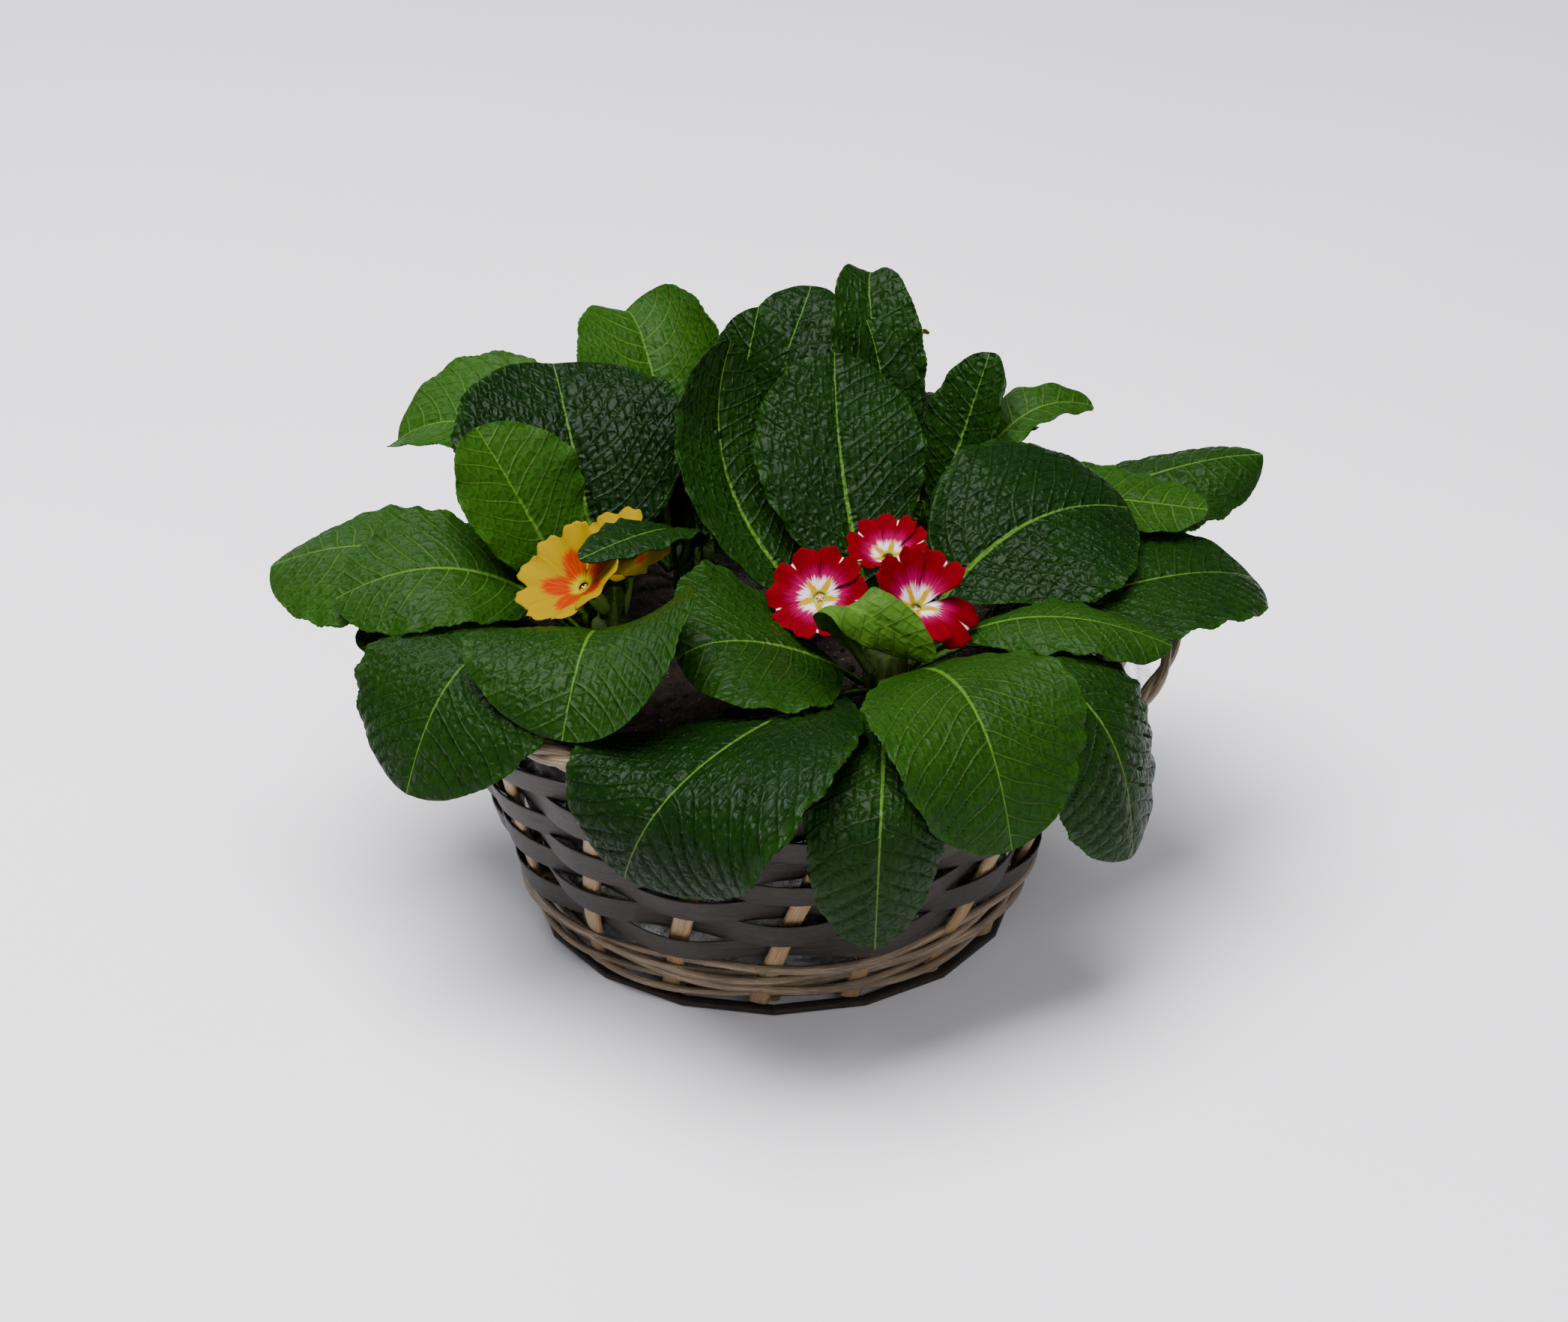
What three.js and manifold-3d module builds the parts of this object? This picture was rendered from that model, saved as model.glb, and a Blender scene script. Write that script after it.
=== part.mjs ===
// A round willow basket planted with four primroses: a yellow one and a crimson one in front and
// two leafy ones behind them. Millimetres, +Z up, the front of the basket faces -Y, and the
// origin is the centre of the basket's underside.
import * as THREE from "three";
import { mergeVertices } from "three/addons/utils/BufferGeometryUtils.js";
import Module from "manifold-3d";

const wasm = await Module();
wasm.setup();

// The line that the stakes follow from the floor to the rim, as height and radius
const STAKE_LINE = [[2.2, 84], [6, 94.6], [18, 96.6], [32, 103], [55, 110], [116, 131.2]];

// The stakes, the base that they start from and the foot under the wall
const STAKES = 17;
const STAKE_WIDTH = 7.8;
const STAKE_THICKNESS = 3.6;
const STAKE_FLAT = 0.55;
const STAKE_LEAN = 0.16;
const STAKE_TURN = -4.5;
const BASE_RADIUS = 89;
const BASE_THICKNESS = 4;
const FOOT_INNER = 91.2;
const FOOT_OUTER = 96.2;
const FOOT_HEIGHT = 2.6;
const CLEARANCE = 0.35;

// The number of sides of the turned bodies
const ROUND = 26;

// The flat dark chip and the round willow rod that are woven round the stakes
const CHIP = { width: 10.2, thickness: 1.2, swing: 3.8, pitch: 11, start: 28.6, turns: 7.3,
  slope: 0.33 };
const ROD = { radius: 2.1, sides: 5, swing: 5.5, pitch: 4.7, start: 8.6, turns: 2.7 };
const RIM = { radius: 132.6, height: 120.7, thickness: 4.6, twist: 17, relief: 0.5, sides: 6 };

// The ear handles: the compass turn of the middle of each and the radius of its two ends, and the
// rest of their path as turn from the middle, radius and height
const EARS = { right: { turn: 89, foot: 128.8 }, left: { turn: -91, foot: 127.5 } };
const EAR = { radius: 3.3, sides: 6, spread: 27, low: 86 };
const EAR_PATH = [[-25, 137, 97], [-20, 144, 107], [-12, 150.5, 115.5], [0, 153.5, 120],
  [12, 150.5, 115.5], [20, 144, 107], [25, 137, 97]];

// The plastic liner, the soil in it and the plants' crowns
const LINER = { inset: 8.2, thickness: 0.7, bottom: 4.4, floor: 84, top: 117, bends: [18, 32, 55] };
const SOIL = { floor: 82.5, edge: 102, top: 105.4, rings: [92, 64, 32], grain: 0.8 };
const CROWN = { radius: 9, level: 108, depth: 16, rise: 15, sides: 14, turn: 4, shoulder: 3 };
const CROWNS = {
  yellow: [-62, -8],
  crimson: [42, -30],
  left: [-32, 52],
  right: [54, 50],
};

const COLOURS = {
  chip: 0x5b5249,
  willow: 0xb49a74,
  stake: 0xc9a878,
  film: 0xdfe3e2,
  soil: 0x2b211a,
  leaf: 0x2f6a1f,
  young: 0x4d8a2a,
  yellow: 0xf7c51c,
  crimson: 0xc0102c,
};

// One row for each large leaf. turn is the compass turn of its stalk from the front, positive
// to the right, and tier how high it leaves the crown. mid and tip are where the middle and the
// end of its midrib lie: reach from the crown, height above the floor and sway to the leaf's
// right. roll lifts its right side, vee lifts both halves at the midrib, and curl bends its left
// and right edges up, all in degrees. wave is how far the edge ripples up and down. lay is the
// compass turn that the blade is laid toward, where that isn't the stalk's, and ease is how much
// of its bend a leaf takes near the stalk, where that isn't the usual share.
const LEAVES = [
  { name: "yellow_far_left", plant: "yellow", tier: 4, turn: -100,
    mid: [72, 147, 4], tip: [135, 133, 0],
    width: 80, roll: -10, vee: -6, curl: [-20, -15], wave: 2 },
  { name: "yellow_left_front", plant: "yellow", tier: 8, turn: -84,
    mid: [55, 151, 8], tip: [104, 139, 4],
    width: 62, roll: -14, vee: 0, curl: [5, -15], wave: 2 },
  { name: "left_upper_light", plant: "left", tier: 4, turn: -100, mid: [70, 168, 5], tip: [120, 160, 0],
    width: 70, roll: -20, vee: 10, curl: [0, 40], wave: 2 },
  { name: "yellow_back_glossy", plant: "yellow", tier: 6, turn: -166,
    mid: [38, 170, 5], tip: [78, 196, 6],
    width: 96, roll: 0, vee: 5, curl: [0, 10], wave: 2 },
  { name: "yellow_upright_light", plant: "yellow", tier: 11, turn: -111,
    mid: [34, 167, 4], tip: [54, 194, 0],
    width: 56, roll: -25, vee: 5, curl: [10, 15], wave: 2 },
  { name: "left_small_over_bloom", plant: "left", tier: 14, turn: -23,
    mid: [52, 158, 15], tip: [101, 165, 0],
    width: 30, roll: 0, vee: 5, curl: [-10, -10], wave: 1, ease: 0.6 },
  { name: "left_curled_upright", plant: "left", tier: 10, turn: -50,
    mid: [15, 154, 0], tip: [15, 181, -4],
    width: 34, roll: 60, vee: 10, curl: [30, 30], wave: 1 },
  { name: "left_hanging", plant: "left", tier: 8, turn: 6, mid: [19, 183, 2], tip: [36, 148, 1],
    width: 16, roll: 0, vee: -10, curl: [-30, -30], wave: 1 },
  { name: "crimson_tall", plant: "crimson", tier: 8, turn: -139,
    mid: [72, 160, 12], tip: [100, 212, -9],
    width: 48, roll: 0, vee: 5, curl: [10, 10], wave: 1 },
  { name: "yellow_front", plant: "yellow", tier: 6, turn: -7, mid: [68, 151, 3], tip: [106, 130, 0],
    width: 90, roll: 1, vee: 4, curl: [-10, 42], wave: 2 },
  { name: "yellow_front_left", plant: "yellow", tier: 2, turn: -40,
    mid: [77, 142, 5], tip: [117, 101, 6],
    width: 94, roll: 3, vee: 0, curl: [-10, -20], wave: 2 },
  { name: "yellow_under_left", plant: "yellow", tier: 1, turn: -78,
    mid: [56, 130, 6], tip: [98, 126, 0],
    width: 44, roll: -10, vee: 0, curl: [-10, -10], wave: 2 },
  { name: "crimson_centre", plant: "crimson", tier: 2, turn: -66, mid: [50, 138, 6], tip: [86, 138, 3],
    width: 90, roll: -13, vee: 0, curl: [0, 10], wave: 2, ease: 0.5 },
  { name: "crimson_front_glossy", plant: "crimson", tier: 0, turn: -43,
    mid: [99, 133, 19], tip: [145, 90, 6],
    width: 100, roll: 11, vee: 0, curl: [-10, -10], wave: 2, lay: -20, ease: 0.4 },
  { name: "crimson_front_hanging", plant: "crimson", tier: 0, turn: -4,
    mid: [93, 131, 3], tip: [118, 65, 2],
    width: 54, roll: 0, vee: -5, curl: [-15, -15], wave: 2, lay: 12, ease: 0.35 },
  { name: "crimson_front_light", plant: "crimson", tier: 3, turn: 28,
    mid: [66, 143, -10], tip: [112, 98, -12],
    width: 84, roll: 0, vee: 0, curl: [0, 5], wave: 2, lay: 34, ease: 0.4 },
  { name: "crimson_right_low", plant: "crimson", tier: 2, turn: 55,
    mid: [74, 138, -8], tip: [112, 72, -5],
    width: 72, roll: 0, vee: 0, curl: [-40, -20], wave: 2, ease: 0.4 },
  { name: "crimson_right_side", plant: "crimson", tier: 8, turn: 79,
    mid: [55, 142, -2], tip: [107, 134, 0],
    width: 44, roll: -6, vee: 0, curl: [-40, -20], wave: 2 },
  { name: "crimson_right_quilted", plant: "crimson", tier: 10, turn: 122,
    mid: [60, 154, 3], tip: [114, 150, 2],
    width: 88, roll: 32, vee: 4, curl: [10, -32], wave: 2, lay: 130 },
  { name: "crimson_back_quilted", plant: "crimson", tier: 10, turn: -167,
    mid: [48, 164, 4], tip: [84, 207, 0],
    width: 68, roll: 0, vee: 4, curl: [-10, -10], wave: 2 },
  { name: "crimson_far_right", plant: "crimson", tier: 3, turn: 112,
    mid: [94, 136, -12], tip: [152, 126, -8],
    width: 80, roll: 5, vee: 4, curl: [-10, 0], wave: 2 },
  { name: "crimson_curled_light", plant: "crimson", tier: 9, turn: -36,
    mid: [36, 157, 5], tip: [22, 138, 36],
    width: 22, roll: 0, vee: 0, curl: [-20, -30], wave: 2, lay: 0 },
  { name: "right_far_point", plant: "right", tier: 5, turn: 98, mid: [88, 148, -2], tip: [143, 153, 4],
    width: 60, roll: 10, vee: -10, curl: [-50, -30], wave: 2 },
  { name: "right_folded_light", plant: "right", tier: 11, turn: 83,
    mid: [62, 148, 2], tip: [116, 147, 1],
    width: 44, roll: 14, vee: 0, curl: [5, -10], wave: 2, ease: 0.85 },
  { name: "right_small_tip", plant: "right", tier: 7, turn: 108, mid: [40, 168, 3], tip: [78, 172, 5],
    width: 28, roll: 10, vee: 5, curl: [10, 10], wave: 1 },
  { name: "right_back_dark", plant: "right", tier: 4, turn: 132, mid: [38, 157, 0], tip: [63, 157, 0],
    width: 40, roll: 0, vee: 5, curl: [10, 10], wave: 2 },
  { name: "right_back_small", plant: "right", tier: 10, turn: 146,
    mid: [28, 171, -8], tip: [42, 195, -9],
    width: 37, roll: -10, vee: 5, curl: [10, 10], wave: 1 },
  { name: "right_back_upright", plant: "right", tier: 7, turn: -169,
    mid: [46, 195, 6], tip: [72, 212, 1],
    width: 40, roll: 0, vee: 10, curl: [20, 20], wave: 1 },
  { name: "right_upright_matte", plant: "right", tier: 12, turn: -145,
    mid: [24, 178, -4], tip: [40, 206, -6],
    width: 30, roll: 0, vee: 10, curl: [20, 20], wave: 1 },
  { name: "right_inner", plant: "right", tier: 13, turn: -120, mid: [12, 150, 1], tip: [15, 180, -2],
    width: 16, roll: 0, vee: 10, curl: [20, 20], wave: 1, lay: -150 },
  { name: "left_back_dark", plant: "left", tier: 3, turn: 158, mid: [63, 178, -12], tip: [95, 200, -12],
    width: 52, roll: 0, vee: 5, curl: [-10, -10], wave: 2 },
  { name: "left_matte", plant: "left", tier: 10, turn: 145, mid: [26, 180, -4], tip: [42, 212, -2],
    width: 42, roll: 0, vee: 5, curl: [-20, -20], wave: 1 },
  { name: "left_back_light", plant: "left", tier: 5, turn: -160, mid: [52, 178, 0], tip: [86, 190, 0],
    width: 66, roll: 0, vee: 10, curl: [60, 10], wave: 2 },
  { name: "right_arching", plant: "right", tier: 1, turn: -150, mid: [50, 164, -10], tip: [44, 170, 4],
    width: 42, roll: 50, vee: -5, curl: [-30, -30], wave: 2 },
  { name: "right_back_low", plant: "right", tier: 1, turn: 162, mid: [58, 156, 0], tip: [106, 130, 0],
    width: 66, roll: 0, vee: 5, curl: [-10, -10], wave: 2 },
  { name: "right_side_low", plant: "right", tier: 1, turn: 130, mid: [60, 131, 0], tip: [108, 122, 0],
    width: 60, roll: 0, vee: 5, curl: [-10, -10], wave: 2 },
  { name: "left_back_low", plant: "left", tier: 1, turn: -176, mid: [56, 152, 0], tip: [106, 130, 0],
    width: 66, roll: 0, vee: 5, curl: [-10, -10], wave: 2 },
  { name: "left_side_low", plant: "left", tier: 2, turn: -124, mid: [60, 150, 0], tip: [110, 128, 0],
    width: 66, roll: 0, vee: 5, curl: [-10, -10], wave: 2 },
];

// The shape that all the leaves share
const LEAF = {
  stations: [0, 0.17, 0.32, 0.46, 0.59, 0.71, 0.82, 0.92, 0.99],
  columns: [-1, -0.5, 0, 0.5, 1],
  ease: 2 / 3,
  stalkShare: 0.16,
  stalkHalf: 2.1,
  edge: 0.7,
  rib: 1.1,
  tooth: 0.05,
  quilt: 0.7,
  bluntness: [0.72, 0.48],
};

// One row for each bloom: the eye of its face, the way it faces (compass turn, and tilt from
// straight up), its radius, the spin of its petals, how far they rise as a cup, how far each of
// the five then droops, in degrees, and the middle of its stalk
const BLOOMS = [
  { name: "yellow_main", plant: "yellow", colour: "yellow", eye: [-70.6, -32, 148.5], turn: -57, tilt: 36,
    radius: 26, spin: 8, cup: 28, droop: [22, 0, 0, 0, 0], stalk: [-63, -20, 130] },
  { name: "yellow_second", plant: "yellow", colour: "yellow", eye: [-57.5, 2, 147], turn: -20, tilt: 26,
    radius: 18, spin: -25, cup: 13, droop: [0, 27, 0, 0, 0], stalk: [-57, -1, 125] },
  { name: "crimson_left", plant: "crimson", colour: "crimson", eye: [17, -29.5, 143], turn: -22, tilt: 38,
    radius: 20, spin: 18, cup: 16, droop: [0, 0, 0, 0, 0], stalk: [27.6, -20.2, 125.6] },
  { name: "crimson_middle", plant: "crimson", colour: "crimson", eye: [43, -13, 151], turn: -20, tilt: 15,
    radius: 18, spin: 0, cup: 30, droop: [0, 0, 0, 0, 0], stalk: [43.6, -14.4, 127] },
  { name: "crimson_right", plant: "crimson", colour: "crimson", eye: [52.5, -40, 143.5], turn: 25, tilt: 22,
    radius: 24, spin: -12, cup: 42, droop: [0, 0, 42, 22, 0], stalk: [47, -33, 126] },
  { name: "back_orange", plant: "right", colour: "yellow", eye: [43, 124, 186], turn: 150, tilt: 30,
    radius: 20, spin: 10, cup: 10, droop: [0, 0, 0, 0, 0], stalk: [58, 92, 160] },
];
const COROLLA = { sides: 20, thickness: 0.8, throat: 2.2, notch: 0.86, valley: 0.72, overlap: 0.5,
  tube: 1.7, length: 13 };
const CALYX = { radius: 3.2, foot: 2.4, length: 10, tooth: 2, sides: 10, lip: 0.2 };
const STALK = { radius: 1.3, sides: 5, offset: 5, sunk: 4 };

// The small young leaves in the heart of each crown: compass turn, reach, height and width
const HEART_LEAVES = [[12, 6.5, 17, 9], [135, 6.5, 19, 10], [252, 6, 14, 8]];
const HEART_START = 3;

const up = new THREE.Vector3(0, 0, 1);
const radians = THREE.MathUtils.degToRad;

function material(colour, roughness) {
  return new THREE.MeshStandardMaterial({ color: colour, roughness, metalness: 0 });
}

// A point by compass turn from the front, distance from the axis and height
function polar(turn, radius, height) {
  return new THREE.Vector3(radius * Math.sin(turn), -radius * Math.cos(turn), height);
}

function stakeRadius(height) {
  let i = 1;
  while (i < STAKE_LINE.length - 1 && height > STAKE_LINE[i][0]) i++;
  const [[z0, r0], [z1, r1]] = [STAKE_LINE[i - 1], STAKE_LINE[i]];
  return r0 + ((r1 - r0) * (height - z0)) / (z1 - z0);
}

// Indexed geometry, turned inside out if its volume comes out negative
function bodyFrom(positions, index) {
  let volume = 0;
  const at = (i) => new THREE.Vector3().fromArray(positions, 3 * i);
  for (let i = 0; i < index.length; i += 3) {
    volume += at(index[i]).dot(at(index[i + 1]).cross(at(index[i + 2])));
  }
  if (volume < 0) {
    for (let i = 0; i < index.length; i += 3) {
      [index[i], index[i + 1]] = [index[i + 1], index[i]];
    }
  }
  const geometry = new THREE.BufferGeometry();
  geometry.setAttribute("position", new THREE.Float32BufferAttribute(positions, 3));
  geometry.setIndex(index);
  return geometry;
}

// A closed body through rows of points, each row a section; a ring joins its last row to its first
function loft(rows, ring = false) {
  const count = rows[0].length;
  const positions = rows.flat().flatMap((p) => [p.x, p.y, p.z]);
  const index = [];
  const spans = ring ? rows.length : rows.length - 1;
  for (let i = 0; i < spans; i++) {
    const next = (i + 1) % rows.length;
    for (let j = 0; j < count; j++) {
      const k = (j + 1) % count;
      index.push(i * count + j, i * count + k, next * count + k);
      index.push(i * count + j, next * count + k, next * count + j);
    }
  }
  if (!ring) {
    const last = (rows.length - 1) * count;
    for (let j = 1; j < count - 1; j++) {
      index.push(0, j + 1, j);
      index.push(last, last + j, last + j + 1);
    }
  }
  return bodyFrom(positions, index);
}

// A thin blade from a grid of points, each with its normal and thickness
function blade(grid) {
  const rows = grid.length;
  const columns = grid[0].length;
  const half = rows * columns;
  const positions = [];
  for (const side of [0.5, -0.5]) {
    for (const { point, normal, thickness } of grid.flat()) {
      const p = point.clone().addScaledVector(normal, side * thickness);
      positions.push(p.x, p.y, p.z);
    }
  }
  const index = [];
  const quad = (a, b, c, d) => index.push(a, b, c, a, c, d);
  for (let i = 0; i < rows - 1; i++) {
    for (let j = 0; j < columns - 1; j++) {
      const a = i * columns + j;
      const [b, c, d] = [a + 1, a + columns + 1, a + columns];
      const corners = j < (columns - 1) / 2 ? [a, b, c, a, c, d] : [a, b, d, b, c, d];
      index.push(...corners);
      for (let k = 0; k < 6; k += 3) {
        index.push(half + corners[k], half + corners[k + 2], half + corners[k + 1]);
      }
    }
  }
  for (let i = 0; i < rows - 1; i++) {
    const left = i * columns;
    const right = left + columns - 1;
    quad(left, left + columns, half + left + columns, half + left);
    quad(right, half + right, half + right + columns, right + columns);
  }
  const end = (rows - 1) * columns;
  for (let j = 0; j < columns - 1; j++) {
    quad(j, half + j, half + j + 1, j + 1);
    quad(end + j, end + j + 1, half + end + j + 1, half + end + j);
  }
  return bodyFrom(positions, index);
}

// Between three.js geometry and solids that can be joined and cut
function solid(geometry) {
  const bare = geometry.clone();
  bare.deleteAttribute("normal");
  bare.deleteAttribute("uv");
  const merged = mergeVertices(bare, 1e-3);
  const vertProperties = new Float32Array(merged.attributes.position.array);
  const triVerts = new Uint32Array(merged.index.array);
  return new wasm.Manifold(new wasm.Mesh({ numProp: 3, vertProperties, triVerts }));
}

function geometryOf(body) {
  const mesh = body.getMesh();
  const geometry = new THREE.BufferGeometry();
  geometry.setAttribute("position", new THREE.Float32BufferAttribute(mesh.vertProperties, 3));
  geometry.setIndex(Array.from(mesh.triVerts));
  return geometry;
}

function join(geometries) {
  return geometryOf(geometries.map(solid).reduce((whole, next) => whole.add(next)));
}

// A turned body, from a profile of radius and height that starts and ends on the axis
function turned(profile, sides) {
  const points = profile.map(([radius, height]) => new THREE.Vector2(radius, height));
  return new THREE.LatheGeometry(points, sides).rotateX(Math.PI / 2);
}

// A round rod of a few sides along points
function rod(points, radius, sides) {
  const path = new THREE.CatmullRomCurve3(points);
  const section = new THREE.Shape();
  for (let i = 0; i < sides; i++) {
    const angle = (2 * Math.PI * i) / sides;
    const [x, y] = [radius * Math.cos(angle), radius * Math.sin(angle)];
    if (i === 0) section.moveTo(x, y);
    else section.lineTo(x, y);
  }
  section.closePath();
  const steps = (points.length - 1) * 2;
  return new THREE.ExtrudeGeometry(section, { steps, extrudePath: path, bevelEnabled: false });
}

// The compass turn of a stake, counted on past a full turn, at a height
function stakeTurn(number, height) {
  return radians(STAKE_TURN + STAKE_LEAN * height) + (2 * Math.PI * number) / STAKES;
}

function stake(number) {
  const rows = STAKE_LINE.map(([height, radius], i) => {
    const turn = stakeTurn(number, height);
    const centre = polar(turn, radius, height);
    const side = new THREE.Vector3(Math.cos(turn), Math.sin(turn), 0);
    const out = i === 0 ? up.clone().negate() : polar(turn, 1, i === 1 ? -0.6 : -0.25).normalize();
    const w = STAKE_WIDTH / 2;
    const t = STAKE_THICKNESS / 2;
    const flat = w * STAKE_FLAT;
    const section = [[-w, 0], [-flat, t], [flat, t], [w, 0], [flat, -t], [-flat, -t]];
    return section.map(([a, b]) => centre.clone().addScaledVector(side, a).addScaledVector(out, b));
  });
  return loft(rows);
}

function basketFrame() {
  const disc = turned([[0, 0], [BASE_RADIUS, 0], [BASE_RADIUS, BASE_THICKNESS], [0, BASE_THICKNESS]], 34);
  const stakes = Array.from({ length: STAKES }, (_, i) => stake(i));
  return join([disc, ...stakes]);
}

function footRing() {
  const rows = Array.from({ length: STAKES }, (_, i) => {
    const turn = (2 * Math.PI * i) / STAKES;
    return [[FOOT_INNER, 0], [FOOT_OUTER, 0], [FOOT_OUTER, FOOT_HEIGHT], [FOOT_INNER, FOOT_HEIGHT]]
      .map(([radius, height]) => polar(turn, radius, height));
  });
  return loft(rows, true);
}

// Where a woven strand passes each stake, winding up the wall, and how far it swings out there
function windings(strand, side) {
  const total = Math.round(strand.turns * STAKES);
  return Array.from({ length: total + 1 }, (_, n) => {
    const height = strand.start + (strand.pitch * n) / STAKES;
    const turn = stakeTurn(n + Math.round(STAKES / 2), height);
    return { turn, height, radius: stakeRadius(height) + strand.swing * side(n) };
  });
}

function chipWeave() {
  const slope = new THREE.Vector2(CHIP.slope, 1).normalize();
  const rows = windings(CHIP, (n) => (n % 2 === 0 ? 1 : -1)).map(({ turn, height, radius }) => {
    const corner = (along, across) => polar(turn + radians(STAKE_LEAN * along),
      radius + along * slope.x + across * slope.y, height + along * slope.y - across * slope.x);
    const [w, t] = [CHIP.width / 2, CHIP.thickness / 2];
    return [corner(-w, -t), corner(-w, t), corner(w, t), corner(w, -t)];
  });
  return loft(rows);
}

function rodWeave() {
  const rows = windings(ROD, (n) => (n % 3 === 0 ? -1 : 1)).map(({ turn, height, radius }) =>
    Array.from({ length: ROD.sides }, (_, i) => {
      const angle = (2 * Math.PI * i) / ROD.sides;
      return polar(turn, radius + ROD.radius * Math.cos(angle), height + ROD.radius * Math.sin(angle));
    }));
  return loft(rows);
}

// The rolled border, its rods shown by a ridge that winds round it
function rim() {
  const count = 2 * STAKES;
  const rows = Array.from({ length: count }, (_, i) => {
    const turn = (2 * Math.PI * i) / count;
    return Array.from({ length: RIM.sides }, (_, j) => {
      const angle = (2 * Math.PI * j) / RIM.sides;
      const thick = RIM.thickness + RIM.relief * Math.cos(2 * angle + RIM.twist * turn);
      return polar(turn, RIM.radius + thick * Math.cos(angle), RIM.height + thick * Math.sin(angle));
    });
  });
  return loft(rows, true);
}

function ear({ turn, foot }) {
  const path = [[-EAR.spread, foot, EAR.low], ...EAR_PATH, [EAR.spread, foot, EAR.low]];
  const points = path.map(([along, radius, height]) => polar(radians(turn + along), radius, height));
  return rod(points, EAR.radius, EAR.sides);
}

function liner() {
  const heights = [...LINER.bends, LINER.top];
  const wall = (height, inset) => [stakeRadius(height) - inset, height];
  const inner = LINER.inset + LINER.thickness;
  const floor = LINER.bottom + LINER.thickness;
  const profile = [[0, LINER.bottom], [LINER.floor, LINER.bottom]];
  heights.forEach((height) => profile.push(wall(height, LINER.inset)));
  heights.reverse().forEach((height) => profile.push(wall(height, inner)));
  profile.push([LINER.floor - LINER.thickness, floor], [0, floor]);
  return turned(profile, ROUND);
}

function soil() {
  const inset = LINER.inset + LINER.thickness + 2 * CLEARANCE;
  const bottom = LINER.bottom + LINER.thickness + CLEARANCE;
  const profile = [[0, bottom], [SOIL.floor, bottom]];
  for (const height of [...LINER.bends, SOIL.edge]) {
    profile.push([stakeRadius(height) - inset, height]);
  }
  for (const radius of [...SOIL.rings, 0]) profile.push([radius, SOIL.top]);
  const body = turned(profile, ROUND);
  const place = body.attributes.position;
  for (let i = 0; i < place.count; i++) {
    const [x, y, z] = [place.getX(i), place.getY(i), place.getZ(i)];
    if (z < SOIL.top - 1e-3) continue;
    place.setZ(i, z + SOIL.grain * Math.sin(0.31 * x + 1) * Math.cos(0.27 * y));
  }
  let whole = solid(body);
  for (const [x, y] of Object.values(CROWNS)) {
    const low = CROWN.level - CROWN.depth - CLEARANCE;
    const wide = CROWN.radius + CLEARANCE;
    const hole = turned([[0, low], [wide, low], [wide, SOIL.top + 5], [0, SOIL.top + 5]], CROWN.sides);
    whole = whole.subtract(solid(hole.translate(x, y, 0)));
  }
  return geometryOf(whole);
}

// Half width of a primrose leaf along its length, as a share of its greatest half width
function leafOutline(s) {
  const u = Math.max(0, (s - LEAF.stalkShare) / (1 - LEAF.stalkShare));
  const toward = THREE.MathUtils.smoothstep(s, 0.5, 0.9);
  const bluntness = THREE.MathUtils.lerp(LEAF.bluntness[0], LEAF.bluntness[1], toward);
  return Math.pow(Math.sin(Math.PI * Math.pow(u, 1.3)), bluntness);
}

// The frame of a leaf along its length: place on the midrib, side, normal and share of the roll
function leafFrame(leaf, start) {
  const turn = radians(leaf.turn);
  const out = polar(turn, 1, 0);
  const right = new THREE.Vector3(Math.cos(turn), Math.sin(turn), 0);
  const lay = radians(leaf.lay ?? leaf.turn);
  const across = new THREE.Vector3(Math.cos(lay), Math.sin(lay), 0);
  const [cx, cy] = CROWNS[leaf.plant];
  const place = ([reach, height, sway]) =>
    new THREE.Vector3(cx, cy, height).addScaledVector(out, reach).addScaledVector(right, sway);
  const mid = place(leaf.mid);
  const tip = place(leaf.tip);
  const base = place([start, CROWN.level + leaf.tier, 0]);
  const rise = mid.clone().sub(base).normalize().z;
  base.addScaledVector(out, rise);
  const bend = mid.clone().multiplyScalar(2).addScaledVector(base, -0.5).addScaledVector(tip, -0.5);
  const first = base.clone().lerp(bend, leaf.ease ?? LEAF.ease);
  const second = mid.clone().multiplyScalar(8).sub(base).sub(tip).divideScalar(3).sub(first);
  const rib = new THREE.CubicBezierCurve3(base, first, second, tip);
  return (s) => {
    const point = rib.getPointAt(s);
    const along = rib.getTangentAt(s);
    const side = across.clone().addScaledVector(along, -across.dot(along)).normalize();
    const ramp = THREE.MathUtils.smoothstep(s, 0.05, 0.45);
    side.applyAxisAngle(along, radians(leaf.roll) * ramp);
    const normal = new THREE.Vector3().crossVectors(along, side);
    return { point, side, normal, ramp };
  };
}

// How far across and up a point lies on an arc that starts at angle vee and bends on by curl
function arc(distance, reach, vee, curl) {
  if (Math.abs(curl) < 1e-3) {
    return { across: distance * Math.cos(vee), lift: distance * Math.sin(vee) };
  }
  const radius = reach / curl;
  const angle = vee + (curl * distance) / reach;
  return {
    across: radius * (Math.sin(angle) - Math.sin(vee)),
    lift: radius * (Math.cos(vee) - Math.cos(angle)),
  };
}

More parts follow.
